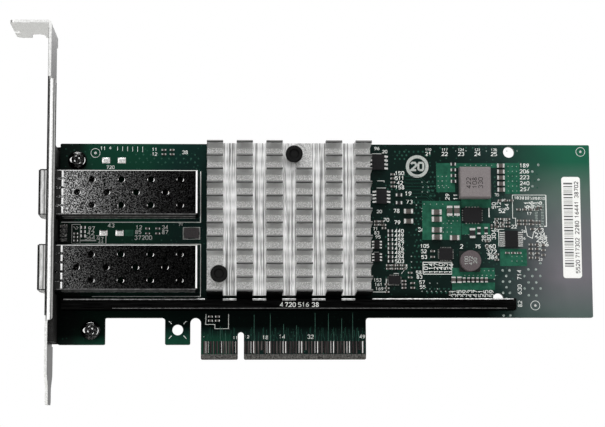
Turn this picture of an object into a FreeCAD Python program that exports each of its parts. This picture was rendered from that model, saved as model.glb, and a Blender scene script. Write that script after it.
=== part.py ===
import FreeCAD, Part
import math
import os

# A dual-port network interface card with a full-height mounting bracket.
#
# Lengths are in millimetres. The origin is the middle of the key notch at the bottom edge of the
# gold edge connector, on the board's mid-plane. +X runs along the card away from the bracket,
# +Z runs up from the connector to the board's top edge, and -Y leaves the component side.

Vector = FreeCAD.Vector

# ---------------------------------------------------------------- driving dimensions

# Circuit board
board_thickness = 1.57
board_left = -57.55
board_right = 112.15
board_top = 68.9
lower_edge = 13.2            # the board's long lower edge, beside the connector
tab_edge = 4.7               # lower edge of the two tabs left of the connector
corner_tab_right = -42.75    # right side of the tab that the lower bracket screw holds
hole_tab_left = -23.9
hole_tab_width = 7.95
key_width = 1.9
key_top = 8.7
connector_left = -12.6
connector_right = 39.6
bevel_height = 1.3
bevel_depth = 0.45
board_corner = 0.5
tab_hole_height = 9.4        # centre of the hole in the middle tab
tab_hole_radius = 1.7
top_hole = (86.1, 66.55)
top_hole_radius = 1.8
bar_hole = (81.9, 19.3)      # half hidden by the stiffener bar
bar_hole_radius = 1.7

# Edge connector contacts
contact_pitch = 1.0
contact_from_key = 1.5       # first contact's centre from the key notch's centre
contact_width = 0.7
contact_bottom = 1.9
contact_length = 3.9
contact_thickness = 0.05
contacts_left = 11
contacts_right = 38
short_contact_cut = 1.1      # presence-detect contacts start this much higher
short_front_contacts = (17, 31, 48)
short_back_contacts = (1,)

# Mounting bracket
bracket_gap = 1.89           # from the bracket's inner face to the board's left edge
sheet = 0.86
bracket_width = 18.42
bracket_height = 120.02
bracket_near = -15.5         # y of the edge that stands furthest out on the component side
tab_width = 21.59
tab_reach = 12.3             # how far the top tab stands out from the plate's outer face
tab_underside = 104.9
wide_drop = 3.6              # the plate keeps the tab's width for this far below it
notch_width = 4.42
notch_centre = 5.1           # screw notch's centre from the plate's outer face
notch_depth = 5.1
notch_lip = 0.6              # rounding at the notch's mouth
nick_width = 2.2             # small notch in the tab's outer end
nick_depth = 1.7
nick_centre = -1.9           # its y
tab_near_corner = 1.5
tab_far_corner = 2.2
tongue_width = 10.16
tongue_length = 5.2
shoulder_slope = 4.1
bracket_bend = 1.3           # outer radius of every fold
plate_corner = 1.0
tongue_corner = 1.5
wide_corner = 0.5
flange_reach = 2.4           # stiffening flange along the plate's near edge
flange_top = 87.0
flange_bottom = 11.5
flange_corner = 1.0
relief = 0.8                 # notch in the sheet at each end of a fold
relief_past_bend = 0.3
board_flange_top = 68.0      # flange along the plate's far edge, behind the board
board_flange_bottom = 5.0
board_flange_overlap = 2.0   # how far it reaches behind the board
ear_margin = 4.4             # from a screw's centre to the ear's end
ear_height = 7.0
ear_corner = 1.5

# Fasteners
screw_radius = 1.5
screw_clearance = 0.15
screw_head_radius = 2.95
screw_head_height = 2.1
screw_spare = 1.2            # how far a bracket screw passes its ear
upper_screw = (-52.0, 63.4)
lower_screw = (-47.2, 9.2)
bar_screw_radius = 1.25
bar_screw_head_radius = 2.3
bar_screw_head_height = 1.5

# Port cages
cage_length = 49.8
cage_nose = 3.0              # how far a cage stands out of the bracket's outer face
cage_width = 14.0
cage_height = 9.8
cage_sheet = 0.25
port_pitch = 23.6
upper_port_z = 51.85
floor_length = 24.0
cover_skirt = 2.2
vent_radius = 1.0
vent_pitch = 9.2
vent_row_gap = 4.06
vent_count = 4
first_vent = 12.0            # from the cage's front edge to the first vent of the middle row
cage_pin_length = 2.9
cage_pin_radius = 0.36
cage_pin_hole = 0.37
cage_pin_point = 0.2         # taper at a pin's tip
cage_pins = 5
first_cage_pin = 4.0         # from the board's left edge
last_cage_pin = 3.0          # from the cage's rear wall
cage_nose_gap = 0.2          # between the deep sides of a cage's nose and the board
cage_opening_gap = 0.6       # between a cage and its opening in the bracket
opening_corner = 0.9

# Spring-finger collars round the cage noses
finger_sheet = 0.15
collar_setback = 0.4         # from the cage's front edge
collar_band = 2.3
bead_setback = 0.55          # from the band's front edge to the bead round it
bead_length = 0.5
bead_height = 0.15
finger_length = 4.4
finger_crown = 0.9           # from the band to a finger's highest point
finger_clearance = 0.03      # left between a finger's crown and the opening's edge
finger_pitch = 2.85
finger_width = 2.1
side_finger_pitch = 3.1
side_finger_width = 2.3
finger_count = 5             # on the cage's top and on its floor
side_finger_count = 3
floor_finger_gap = 0.25      # between the fingers under the floor and the board's edge

# Conductive gasket between the bracket and the board
gasket_thickness = 1.7
gasket_margin = 0.5
gasket_top = 66.0
gasket_bottom = 5.0
gasket_board_gap = 2.3       # between the gasket and the board's component face

# Connectors inside the cages
socket_depth = 9.5
socket_width = 9.2
socket_height = 6.0
socket_setback = 1.4         # from the cage's rear wall
slot_depth = 6.2
slot_width = 8.3
slot_height = 1.3
slot_rise = 3.6              # middle of the slot above the board
blade_pitch = 0.8
blade_count = 10
blade_width = 0.35
blade_thickness = 0.2
peg_radius = 0.75
peg_short = 0.1              # how far a peg stays inside the board
socket_bevel = 0.8
socket_step = (1.6, 1.8)     # recess along the socket's rear edge: length and depth
blade_setback = 0.6

# Status lights between the ports
light_count = 4
light_pitch = 1.45
light_width = 1.1
light_depth = 2.2
light_rise = 1.2
light_setback = 0.3          # from the board's left edge
light_hole = 0.5
lens_length = 0.4

# Controller chip and heat sink
chip_from_sink = 15.65       # chip's centre from the sink's left side
chip_z = 45.2
chip_size = 31.0
chip_rise = 1.1
lid_size = 25.0
lid_rise = 1.1
pad_thickness = 0.3
sink_gap = 2.75              # between the cages' rear walls and the sink
sink_bottom = 19.85
sink_base = 2.2
fin_height = 8.6
fin_columns = 6
column_pitch = 9.33
column_width = 5.1
fin_rows = 12
fin_pitch = 4.26
fin_root = 1.7
fin_tip = 0.7
pin_offset_x = 11.8          # push pins from the chip's centre
pin_offset_z = 18.95
pin_shaft = 1.45
pin_hole_gap = 0.15
pin_head_radius = 2.7
pin_head_height = 1.3
pin_head_round = 0.3
pin_dish_radius = 1.6
pin_dish_slope = 0.4
pin_dish_depth = 0.5
barb_reach = 0.5             # how far the barb stands out from the shaft
barb_length = 2.6
barb_tip = 0.7
barb_gap = 0.1               # between the barb and the board's solder face
barb_split = 0.6
pin_head_lift = 4.6          # from the base's floor to the head's underside
pin_spot_radius = 4.5
pin_spot_depth = 0.3
spring_wire = 0.25
spring_radius = 2.1
spring_turns = 3

# Stiffener bar
bar_left = -56.3
bar_right = 86.9
bar_bottom = 15.4
bar_height = 3.6
bar_rise = 5.0
bar_edge = 0.4
bar_screw_bite = 3.5         # how deep the screws go into the bar
bar_inset = 8.0              # from the bar's ends to its outer screws

# Inductors and crystal
square_coil = (74.7, 56.2)
square_coil_size = 9.9
square_coil_rise = 4.0
square_coil_bevel = 0.35
square_coil_terminal = (1.8, 3.2)
terminal_thickness = 0.1
drum_coil = (72.9, 31.1)
drum_base_size = 6.6
drum_base_rise = 0.8
drum_radius = 3.3
drum_rise = 3.2
drum_core_radius = 2.7
drum_groove = (1.3, 2.5)     # the winding's groove, measured up from the board
winding_radius = 3.0

# Paper label
label_left = 102.9
label_right = 108.9
label_bottom = 25.8
label_top = 58.5
label_corner = 0.9
label_thickness = 0.12

# Leaded packages: (x, z), (body width, body height, rise), pin pitch and the leads' reach
lead_sheet = 0.15
package_stand = 0.1          # gap under a leaded package
flash_place = (43.9, 63.0)
flash_body = (3.9, 4.9, 1.5)
flash_pitch = 1.27
package_pin_count = 4        # on each side of both memory packages
flash_reach = 1.2
small_flash_place = (44.9, 51.9)
small_flash_body = (3.3, 4.6, 1.4)
small_flash_pitch = 1.1
logic_place = (43.3, 36.5)
logic_spacing = 4.0          # from the upper logic chip down to the lower one
logic_body = (1.7, 2.9, 1.0)
logic_pitch = 0.95
logic_pin_count = 3
logic_reach = 0.75
power_controller_place = (86.4, 38.3)
power_controller_body = (4.1, 5.3, 1.0)
power_controller_pitch = 0.62
power_controller_pin_count = 8
power_controller_reach = 1.7

# Leadless packages: (x, z), (width, height, rise)
power_stage_place = (74.0, 46.0)
power_stage_body = (5.8, 4.7, 1.2)
regulator_place = (65.3, 33.5)
regulator_body = (4.2, 3.7, 0.9)
clock_buffer_place = (48.8, 25.2)
clock_buffer_body = (3.7, 2.6, 0.8)
crystal_from_cage = 2.2      # from the cages' rear walls back to the crystal's centre
crystal_z = 40.1
crystal_body = (4.7, 3.1, 1.1)

# Chip capacitors: a group's first (x, z), its pitch, and (width, height, rise) of each chip
terminal_share = 0.22        # of a chip's length, metal at each end
terminal_lip = 0.03          # how far the metal stands out of the ceramic
output_bank = (62.45, 46.9)
output_bank_drop = 5.75      # from the upper pair down to the lower pair
output_pitch = 2.3
output_count = 2             # in each of the two pairs and in the upright one
output_capacitor = (3.2, 1.6, 1.3)
upright_bank = (66.6, 47.3)
upright_capacitor = (1.7, 3.2, 1.4)
filter_place = (68.1, 38.7)
filter_capacitor = (3.0, 1.5, 1.0)
core_bank = (53.45, 47.2)
core_pitch = 3.2
core_count = 2
core_capacitor = (2.9, 1.4, 1.0)
input_bank = (83.3, 62.0)
input_pitch = 1.95
input_count = 5
input_capacitor = (2.4, 1.25, 1.0)
bulk_bank = (67.6, 25.2)
bulk_pitch = 1.85
bulk_count = 2
bulk_capacitor = (1.3, 2.0, 0.9)
bypass_bank = (71.0, 25.2)
bypass_pitch = 1.42
bypass_count = 6
bypass_capacitor = (0.8, 1.6, 0.6)

# Chip resistors, in the same way
strap_bank = (47.6, 40.9)
strap_pitch = 1.385
strap_count = 8
strap_resistor = (1.7, 0.8, 0.45)
sense_bank = (50.5, 52.5)
sense_pitch = 2.5
sense_count = 2
sense_resistor = (2.0, 0.9, 0.5)
gate_bank = (68.05, 62.5)
gate_pitch = 1.85
gate_count = 4
gate_resistor = (1.7, 0.85, 0.5)
shunt_place = (73.9, 40.2)
shunt_resistor = (1.7, 3.2, 0.7)
divider_bank = (76.0, 41.0)
divider_pitch = 2.3
divider_count = 2
divider_resistor = (1.0, 2.3, 0.5)
light_bank = (-50.0, 41.9)
light_bank_pitch = 1.35
light_bank_count = 3
light_resistor = (1.6, 0.8, 0.45)

# ---------------------------------------------------------------- worked-out places

board_front = -board_thickness / 2
board_back = board_thickness / 2
bracket_inner = board_left - bracket_gap
bracket_outer = bracket_inner - sheet
bracket_far = bracket_near + bracket_width
bracket_top = tab_underside + sheet
bracket_bottom = bracket_top - bracket_height
cage_front = bracket_outer - cage_nose
cage_rear = cage_front + cage_length
cage_top = board_front - cage_height
sink_left = cage_rear + sink_gap
chip_x = sink_left + chip_from_sink
finger_bulge = cage_opening_gap - finger_sheet - finger_clearance
port_heights = {"upper": upper_port_z, "lower": upper_port_z - port_pitch}
sink_underside = board_front - chip_rise - lid_rise - pad_thickness
sink_floor = sink_underside - sink_base
sink_width = (fin_columns - 1) * column_pitch + column_width
sink_height = (fin_rows - 1) * fin_pitch + fin_root
push_pins = [(chip_x + pin_offset_x, chip_z + pin_offset_z),
             (chip_x - pin_offset_x, chip_z - pin_offset_z)]
bar_middle = bar_bottom + bar_height / 2
bar_screws = [bar_left + bar_inset, (bar_left + bar_right) / 2, bar_right - bar_inset]
hole_tab_right = hole_tab_left + hole_tab_width


# ---------------------------------------------------------------- building blocks

def box(x0, x1, y0, y1, z0, z1):
    """Box between two corners."""
    return Part.makeBox(x1 - x0, y1 - y0, z1 - z0, Vector(x0, y0, z0))


def on_board(x, z, width, height, rise, stand=0.0):
    """Box on the component side, centred on (x, z); stand is the gap under it."""
    near = board_front - stand
    return box(x - width / 2, x + width / 2, near - rise, near, z - height / 2, z + height / 2)


def rod(x, z, radius, y0, y1):
    """Cylinder along Y."""
    return Part.makeCylinder(radius, y1 - y0, Vector(x, y0, z), Vector(0, 1, 0))


def join(shapes):
    """Fuse shapes into one and merge their coplanar faces."""
    shapes = list(shapes)
    whole = shapes[0].fuse(shapes[1:]) if len(shapes) > 1 else shapes[0]
    return whole.removeSplitter()


def outline(corners, place):
    """Closed face through corners (u, v, radius); place turns (u, v) into a point."""
    edges = []
    ends = []
    count = len(corners)
    for i, (u, v, radius) in enumerate(corners):
        here = Vector(u, v, 0)
        before = Vector(corners[i - 1][0], corners[i - 1][1], 0) - here
        after = Vector(corners[(i + 1) % count][0], corners[(i + 1) % count][1], 0) - here
        before.normalize()
        after.normalize()
        if radius == 0:
            ends.append((here, here, here))
            continue
        half = before.getAngle(after) / 2
        run = radius / math.tan(half)
        inward = before + after
        inward.normalize()
        middle = here + inward * (radius / math.sin(half) - radius)
        ends.append((here + before * run, middle, here + after * run))
    for i, (start, middle, stop) in enumerate(ends):
        if start != stop:
            arc = Part.Arc(place(start.x, start.y), place(middle.x, middle.y), place(stop.x, stop.y))
            edges.append(arc.toShape())
        following = ends[(i + 1) % count][0]
        if (following - stop).Length > 1e-6:
            line = Part.LineSegment(place(stop.x, stop.y), place(following.x, following.y))
            edges.append(line.toShape())
    return Part.Face(Part.Wire(edges))


def rectangle(u0, u1, v0, v1, radius):
    """Corners of a rectangle with one corner radius, for outline."""
    return [(u0, v0, radius), (u1, v0, radius), (u1, v1, radius), (u0, v1, radius)]


def edge_at(shape, x, y, z):
    """The edge whose middle is nearest the point; a coordinate given as None is ignored."""
    def miss(edge):
        middle = edge.valueAt((edge.FirstParameter + edge.LastParameter) / 2)
        return sum((a - b) ** 2 for a, b in zip(middle, (x, y, z)) if b is not None)
    return min(shape.Edges, key=miss)


def on_front_face(u, v):
    return Vector(u, board_front, v)


def on_outer_face(u, v):
    return Vector(bracket_outer, u, v)


def gull_leads(x, z, body_width, pins, pitch, reach, rise, width):
    """Gull-wing leads in two columns, left and right of a body centred on (x, z)."""
    leads = []
    for side in (-1, 1):
        for k in range(pins):
            level = z + (k - (pins - 1) / 2) * pitch
            root = body_width / 2
            knee = root + reach * 0.4
            profile = [(root, rise), (knee, rise), (knee, lead_sheet), (root + reach, lead_sheet),
                       (root + reach, 0), (knee - lead_sheet, 0), (knee - lead_sheet, rise - lead_sheet),
                       (root, rise - lead_sheet)]
            points = [Vector(x + side * u, board_front - v, level - width / 2) for u, v in profile]
            lead = Part.Face(Part.makePolygon(points + points[:1]))
            leads.append(lead.extrude(Vector(0, 0, width)))
    return leads


# ---------------------------------------------------------------- board

def circuit_board():
    """Board outline with its tabs, slot, key notch, bevelled connector edge and holes."""
    slot_radius = (connector_left - hole_tab_right) / 2
    key = key_width / 2
    corners = [
        (board_left, board_top, board_corner),
        (board_left, tab_edge, board_corner),
        (corner_tab_right, tab_edge, board_corner),
        (corner_tab_right, lower_edge, board_corner),
        (hole_tab_left, lower_edge, 2 * board_corner),
        (hole_tab_left, tab_edge, board_corner),
        (hole_tab_right, tab_edge, board_corner),
        (hole_tab_right, lower_edge, slot_radius),
        (connector_left, lower_edge, slot_radius),
        (connector_left, 0, board_corner),
        (-key, 0, board_corner),
        (-key, key_top, key),
        (key, key_top, key),
        (key, 0, board_corner),
        (connector_right, 0, board_corner),
        (connector_right, lower_edge, 2 * board_corner),
        (board_right, lower_edge, board_corner),
        (board_right, board_top, board_corner),
    ]
    board = outline(corners, on_front_face).extrude(Vector(0, board_thickness, 0))

    cutters = []
    for face, inward in ((board_front, 1), (board_back, -1)):
        wedge = Part.makePolygon([Vector(connector_left - 1, face, 0),
                                  Vector(connector_left - 1, face, bevel_height),
                                  Vector(connector_left - 1, face + inward * bevel_depth, 0),
                                  Vector(connector_left - 1, face, 0)])
        cutters.append(Part.Face(wedge).extrude(Vector(connector_right - connector_left + 2, 0, 0)))

    def hole(x, z, radius):
        cutters.append(rod(x, z, radius, board_front - 1, board_back + 1))

    hole((hole_tab_left + hole_tab_right) / 2, tab_hole_height, tab_hole_radius)
    hole(*top_hole, top_hole_radius)
    hole(*bar_hole, bar_hole_radius)
    for x, z in (upper_screw, lower_screw):
        hole(x, z, screw_radius + screw_clearance)
    for x, z in push_pins:
        hole(x, z, pin_shaft + pin_hole_gap)
    for x in bar_screws:
        hole(x, bar_middle, bar_screw_radius + screw_clearance)
    for z in port_heights.values():
        for x, wall in cage_pin_places(z):
            hole(x, wall, cage_pin_hole)
        for side in (-1, 1):
            hole(socket_peg_x(), z + side * socket_width / 4, peg_radius)
    return board.cut(cutters)


def contact_centres():
    """X of every contact, with the key notch between the two groups."""
    left = [-contact_from_key - k * contact_pitch for k in reversed(range(contacts_left))]
    right = [contact_from_key + k * contact_pitch for k in range(contacts_right)]
    return left + right


def contacts(y0, short):
    """One face's contacts; those numbered in short start higher, for presence detection."""
    pads = []
    for number, x in enumerate(contact_centres(), start=1):
        bottom = contact_bottom + (short_contact_cut if number in short else 0)
        pads.append(box(x - contact_width / 2, x + contact_width / 2, y0, y0 + contact_thickness,
                        bottom, contact_bottom + contact_length))
    return pads


# ---------------------------------------------------------------- bracket

def mounting_bracket():
    """One folded sheet: plate, top tab, near flange, tongue, and a flange behind the board whose
    two ears take the screws."""
    middle = (bracket_near + bracket_far) / 2
    shoulder_low = bracket_bottom + tongue_length
    shoulder_high = shoulder_low + shoulder_slope
    half_tongue = tongue_width / 2
    wide_far = bracket_near + tab_width
    wide_low = tab_underside - wide_drop
    corners = [
        (bracket_near, bracket_top, 0),
        (bracket_near, shoulder_high, plate_corner),
        (middle - half_tongue, shoulder_low, plate_corner),
        (middle - half_tongue, bracket_bottom, tongue_corner),
        (middle + half_tongue, bracket_bottom, tongue_corner),
        (middle + half_tongue, shoulder_low, plate_corner),
        (bracket_far, shoulder_high, plate_corner),
        (bracket_far, wide_low, wide_corner),
        (wide_far, wide_low, wide_corner),
        (wide_far, bracket_top, 0),
    ]
    plate = outline(corners, on_outer_face).extrude(Vector(sheet, 0, 0))

    tab_left = bracket_outer - tab_reach
    notch_x = bracket_outer - notch_centre
    half_notch = notch_width / 2
    tab_corners = [
        (bracket_inner, bracket_near, 0),
        (tab_left, bracket_near, tab_near_corner),
        (tab_left, nick_centre - nick_width / 2, 0),
        (tab_left + nick_depth, nick_centre - nick_width / 2, 0),
        (tab_left + nick_depth, nick_centre + nick_width / 2, 0),
        (tab_left, nick_centre + nick_width / 2, 0),
        (tab_left, wide_far, tab_far_corner),
        (notch_x - half_notch, wide_far, notch_lip),
        (notch_x - half_notch, wide_far - notch_depth, half_notch),
        (notch_x + half_notch, wide_far - notch_depth, half_notch),
        (notch_x + half_notch, wide_far, notch_lip),
        (bracket_inner, wide_far, 0),
    ]
    tab = outline(tab_corners, lambda u, v: Vector(u, v, tab_underside)).extrude(Vector(0, 0, sheet))

    # The bend reliefs split each folded edge from the rest of the plate's edge.
    reliefs = []
    for end in (flange_top, flange_bottom - relief):
        reliefs.append(box(bracket_outer - 1, bracket_inner + 1, bracket_near - 1,
                           bracket_near + bracket_bend + relief_past_bend, end, end + relief))
    flange = box(bracket_outer, bracket_outer + flange_reach, bracket_near, bracket_near + sheet,
                 flange_bottom, flange_top)
    tips = [edge_at(flange, bracket_outer + flange_reach, None, end)
            for end in (flange_top, flange_bottom)]
    flange = flange.makeFillet(flange_corner, tips)

    fold = board_back + sheet
    reliefs.append(box(bracket_outer - 1, bracket_inner + 1, fold, bracket_far + 1,
                       board_flange_bottom - relief, board_flange_top + relief))
    for end in (board_flange_bottom - relief, board_flange_top):
        start = fold - bracket_bend - relief_past_bend
        reliefs.append(box(bracket_outer - 1, bracket_inner + 1, start, bracket_far + 1,
                           end, end + relief))
    board_flange = box(bracket_outer, board_left + board_flange_overlap, board_back, fold,
                       board_flange_bottom, board_flange_top)
    threads = []
    for x, z in (upper_screw, lower_screw):
        low = z - ear_height / 2
        high = z + ear_height / 2
        tip = x + ear_margin
        ear = box(bracket_inner, tip, board_back, fold, low, high)
        ear = ear.makeFillet(ear_corner, [edge_at(ear, tip, None, low), edge_at(ear, tip, None, high)])
        board_flange = board_flange.fuse(ear)
        threads.append(rod(x, z, screw_radius, board_back - 1, fold + 1))
    board_flange = board_flange.cut(threads)

    openings = []
    for z in port_heights.values():
        gap = cage_opening_gap
        window = rectangle(cage_top - gap, board_front + gap, z - cage_width / 2 - gap,
                           z + cage_width / 2 + gap, opening_corner)
        openings.append(outline(window, on_outer_face).extrude(Vector(sheet, 0, 0)))
    for z in light_heights():
        openings.append(Part.makeCylinder(light_hole, sheet,
                                          Vector(bracket_outer, board_front - light_rise / 2, z),
                                          Vector(1, 0, 0)))

    bracket = join([plate.cut(reliefs + openings), tab, flange, board_flange])
    folds = [edge_at(bracket, bracket_outer, bracket_near, (flange_bottom + flange_top) / 2),
             edge_at(bracket, bracket_inner, (bracket_near + wide_far) / 2, bracket_top)]
    folds.append(edge_at(bracket, bracket_outer, fold, (board_flange_bottom + board_flange_top) / 2))
    return bracket.makeFillet(bracket_bend, folds)


def gasket():
    """Conductive foam against the bracket's inner face, cut away round both cages."""
    near = bracket_near + sheet
    far = board_front - gasket_board_gap
    pad = box(bracket_inner, bracket_inner + gasket_thickness, near, far, gasket_bottom, gasket_top)
    windows = []
    for z in port_heights.values():
        reach = cage_width / 2 + cage_opening_gap + gasket_margin
        windows.append(box(bracket_inner - 1, bracket_inner + gasket_thickness + 1,
                           cage_top - cage_opening_gap - gasket_margin, far + 1, z - reach, z + reach))
    return pad.cut(windows)


# ---------------------------------------------------------------- ports

def cage_pin_places(z):
    """(x, z) of the press-fit pins under both walls of the cage centred on z."""
    wall = cage_width / 2 - 1.5 * cage_sheet
    first = board_left + first_cage_pin
    step = (cage_rear - last_cage_pin - first) / (cage_pins - 1)
    return [(first + k * step, z + side * wall) for side in (-1, 1) for k in range(cage_pins)]


def cage_base(z):
    """Floor, two side walls and their press-fit pins, folded from one sheet."""
    half = cage_width / 2 - cage_sheet
    wall_top = cage_top + cage_sheet
    parts = [box(cage_front, cage_front + floor_length, board_front - cage_sheet, board_front,
                 z - half, z + half)]
    for side in (-1, 1):
        inner = z + side * (half - cage_sheet)
        outer = z + side * half
        parts.append(box(cage_front, cage_rear - cage_sheet, wall_top, board_front,
                         min(inner, outer), max(inner, outer)))
    for x, wall in cage_pin_places(z):
        pin = rod(x, wall, cage_pin_radius, board_front, board_front + cage_pin_length)
        tip = edge_at(pin, x, board_front + cage_pin_length, wall)
        parts.append(pin.makeChamfer(cage_pin_point, [tip]))
    return join(parts)


def cage_cover(z):
    """Vented top with a rear wall, deep sides at the nose and short skirts behind it."""
    half = cage_width / 2
    skin = cage_top + cage_sheet
    nose_end = board_left - cage_nose_gap
    parts = [box(cage_front, cage_rear, cage_top, skin, z - half, z + half),
             box(cage_rear - cage_sheet, cage_rear, cage_top, board_front, z - half, z + half)]
    for side in (-1, 1):
        inner = z + side * (half - cage_sheet)
        outer = z + side * half
        low, high = min(inner, outer), max(inner, outer)
        parts.append(box(cage_front, nose_end, cage_top, board_front, low, high))
        parts.append(box(nose_end, cage_rear, cage_top, cage_top + cover_skirt, low, high))
    vents = []
    for row in (-1, 0, 1):
        shift = 0 if row == 0 else vent_pitch / 2
        for k in range(vent_count):
            x = cage_front + first_vent + shift + k * vent_pitch
            vents.append(rod(x, z + row * vent_row_gap, vent_radius, cage_top - 1, skin + 1))
    return join(parts).cut(vents)


def sleeve(start, length, z, margin):
    """Solid block over the cage centred on z, standing out from its four sides by margin."""
    half = cage_width / 2 + margin
    return box(start, start + length, cage_top - margin, board_front + margin, z - half, z + half)


def finger(length, width):
    """One spring finger lying along +X from the origin, bulging towards +Z, centred on Y."""
    side = -width / 2

    def hump(base):
        # Two arcs that meet level at the crown: a short climb and a long fall.
        crown = Vector(finger_crown, side, base + finger_bulge)
        arcs = []
        for end in (0, length):
            run = end - finger_crown
            radius = (run ** 2 + finger_bulge ** 2) / (2 * finger_bulge)
            half_turn = math.asin(run / radius) / 2
            middle = crown + Vector(radius * math.sin(half_turn), 0,
                                    radius * (math.cos(half_turn) - 1))
            arcs.append(Part.Arc(crown, middle, Vector(end, side, base)).toShape())
        return arcs

    ends = [Part.makeLine(Vector(x, side, 0), Vector(x, side, finger_sheet)) for x in (0, length)]
    edges = Part.sortEdges(hump(0) + hump(finger_sheet) + ends)[0]
    return Part.Face(Part.Wire(edges)).extrude(Vector(0, width, 0))


def spring_collar(z):
    """Beaded band round the cage's nose with fingers that press on the bracket's opening."""
    half = cage_width / 2
    band_front = cage_front + collar_setback
    band_rear = band_front + collar_band
    middle_y = (cage_top + board_front) / 2
    bead = sleeve(band_front + bead_setback, bead_length, z, finger_sheet + bead_height)
    rims = [edge for edge in bead.Edges if edge.Length > 2 * bead_length]
    solid = sleeve(band_front, collar_band, z, finger_sheet).fuse(bead.makeFillet(bead_height, rims))
    parts = [solid.cut(sleeve(band_front - 1, collar_band + 2, z, 0))]

    def place(count, pitch, width, angle, distance, length):
        for k in range(count):
            strip = finger(length, width)
            strip.translate(Vector(0, (k - (count - 1) / 2) * pitch, distance))
            strip.rotate(Vector(0, 0, 0), Vector(1, 0, 0), angle)
            strip.translate(Vector(band_rear, middle_y, z))
            parts.append(strip)

    under = board_left - floor_finger_gap - band_rear
    place(finger_count, finger_pitch, finger_width, 90, cage_height / 2, finger_length)
    place(finger_count, finger_pitch, finger_width, -90, cage_height / 2, under)
    place(side_finger_count, side_finger_pitch, side_finger_width, 0, half, finger_length)
    place(side_finger_count, side_finger_pitch, side_finger_width, 180, half, finger_length)
    return join(parts)


def socket_rear():
    return cage_rear - cage_sheet - socket_setback


def socket_peg_x():
    return socket_rear() - socket_depth * 0.45


def port_socket(z):
    """Moulded host connector inside a cage, with its slot facing the port and two locating pegs."""
    rear = socket_rear()
    front = rear - socket_depth
    body = box(front, rear, board_front - socket_height, board_front,
               z - socket_width / 2, z + socket_width / 2)
    body = body.makeChamfer(socket_bevel, [edge_at(body, front, board_front - socket_height, z)])
    slot = box(front - 1, front + slot_depth, board_front - slot_rise - slot_height / 2,
               board_front - slot_rise + slot_height / 2, z - slot_width / 2, z + slot_width / 2)
    step_length, step_depth = socket_step
    back_step = box(rear - step_length, rear + 1, board_front - socket_height - 1,
                    board_front - socket_height + step_depth, z - slot_width / 2, z + slot_width / 2)
    pegs = [rod(socket_peg_x(), z + side * socket_width / 4, peg_radius, board_front,
                board_back - peg_short) for side in (-1, 1)]
    return join([body.cut([slot, back_step])] + pegs)


def socket_blades(z):
    """Two rows of contact blades lying on the floor and the roof of the socket's slot."""
    front = socket_rear() - socket_depth + blade_setback
    rear = socket_rear() - socket_depth + slot_depth
    blades = []
    for k in range(blade_count):
        centre = z + (k - (blade_count - 1) / 2) * blade_pitch
        for side in (-1, 1):
            wall = board_front - slot_rise + side * slot_height / 2
            inner = wall - side * blade_thickness
            blades.append(box(front, rear, min(wall, inner), max(wall, inner),
                              centre - blade_width / 2, centre + blade_width / 2))
    return blades


def light_heights():
    middle = sum(port_heights.values()) / 2
    return [middle + (k - (light_count - 1) / 2) * light_pitch for k in range(light_count)]


def status_lights():
    """Side-looking lights at the board's left edge, each behind a hole in the bracket."""
    left = board_left + light_setback
    lights = []
    for z in light_heights():
        body = box(left + lens_length, left + light_depth, board_front - light_rise, board_front,
                   z - light_width / 2, z + light_width / 2)
        lens = Part.makeCylinder(light_hole, lens_length,
                                 Vector(left, board_front - light_rise / 2, z), Vector(1, 0, 0))
        lights.append(join([body, lens]))
    return lights


# ---------------------------------------------------------------- controller and heat sink

def controller_chip():
    """Square package with a smaller raised cap."""
    base = on_board(chip_x, chip_z, chip_size, chip_size, chip_rise)
    cap = on_board(chip_x, chip_z, lid_size, lid_size, lid_rise, chip_rise)
    return join([base, cap])


def fin(x, z):
    """One tapered plate fin standing on the base, centred on height z."""
    def strip(y, thickness):
        low = z - thickness / 2
        high = z + thickness / 2
        return Part.makePolygon([Vector(x, y, low), Vector(x, y, high), Vector(x + column_width, y, high),
                                 Vector(x + column_width, y, low), Vector(x, y, low)])
    return Part.makeLoft([strip(sink_floor, fin_root), strip(sink_floor - fin_height, fin_tip)],
                         True, True)


def heat_sink():
    """Base with cross-cut fins: columns of tapered plates, with room cleared for the push pins."""
    base = box(sink_left, sink_left + sink_width, sink_floor, sink_underside,
               sink_bottom, sink_bottom + sink_height)
    fins = []
    for column in range(fin_columns):
        x = sink_left + column * column_pitch
        for row in range(fin_rows):
            z = sink_bottom + fin_root / 2 + row * fin_pitch
            covered = [pin for pin in push_pins
                       if x - pin_head_radius < pin[0] < x + column_width + pin_head_radius
                       and abs(z - pin[1]) < pin_spot_radius]
            if not covered:
                fins.append(fin(x, z))
    spots = []
    for x, z in push_pins:
        spots.append(rod(x, z, pin_spot_radius, sink_floor - 1, sink_floor + pin_spot_depth))
        spots.append(rod(x, z, pin_shaft + pin_hole_gap, sink_floor - 1, sink_underside + 1))
    return join([base.cut(spots)] + fins)


def push_pin(x, z):
    """Plastic pin: dished head, shaft through sink and board, and a split barb behind the board."""
    seat = sink_floor + pin_spot_depth
    under_head = seat - pin_head_lift
    top = under_head - pin_head_height
    barb = board_back + barb_gap
    profile = [
        (0, top + pin_dish_depth),
        (pin_dish_radius - pin_dish_slope, top + pin_dish_depth),
        (pin_dish_radius, top),
        (pin_head_radius - pin_head_round, top),
        (pin_head_radius, top + pin_head_round),
        (pin_head_radius, under_head),
        (pin_shaft, under_head),
        (pin_shaft, barb),
        (pin_shaft + barb_reach, barb),
        (pin_shaft + barb_reach, barb + barb_reach),
        (barb_tip, barb + barb_length),
        (0, barb + barb_length),
    ]
    points = [Vector(radius, y, 0) for radius, y in profile]
    face = Part.Face(Part.makePolygon(points + points[:1]))
    pin = face.revolve(Vector(0, 0, 0), Vector(0, 1, 0), 360)
    side = pin_shaft + 1
    split = box(-side, side, board_front, barb + barb_length + 1, -barb_split / 2, barb_split / 2)
    pin = pin.cut(split)
    pin.translate(Vector(x, 0, z))
    return pin


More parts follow.
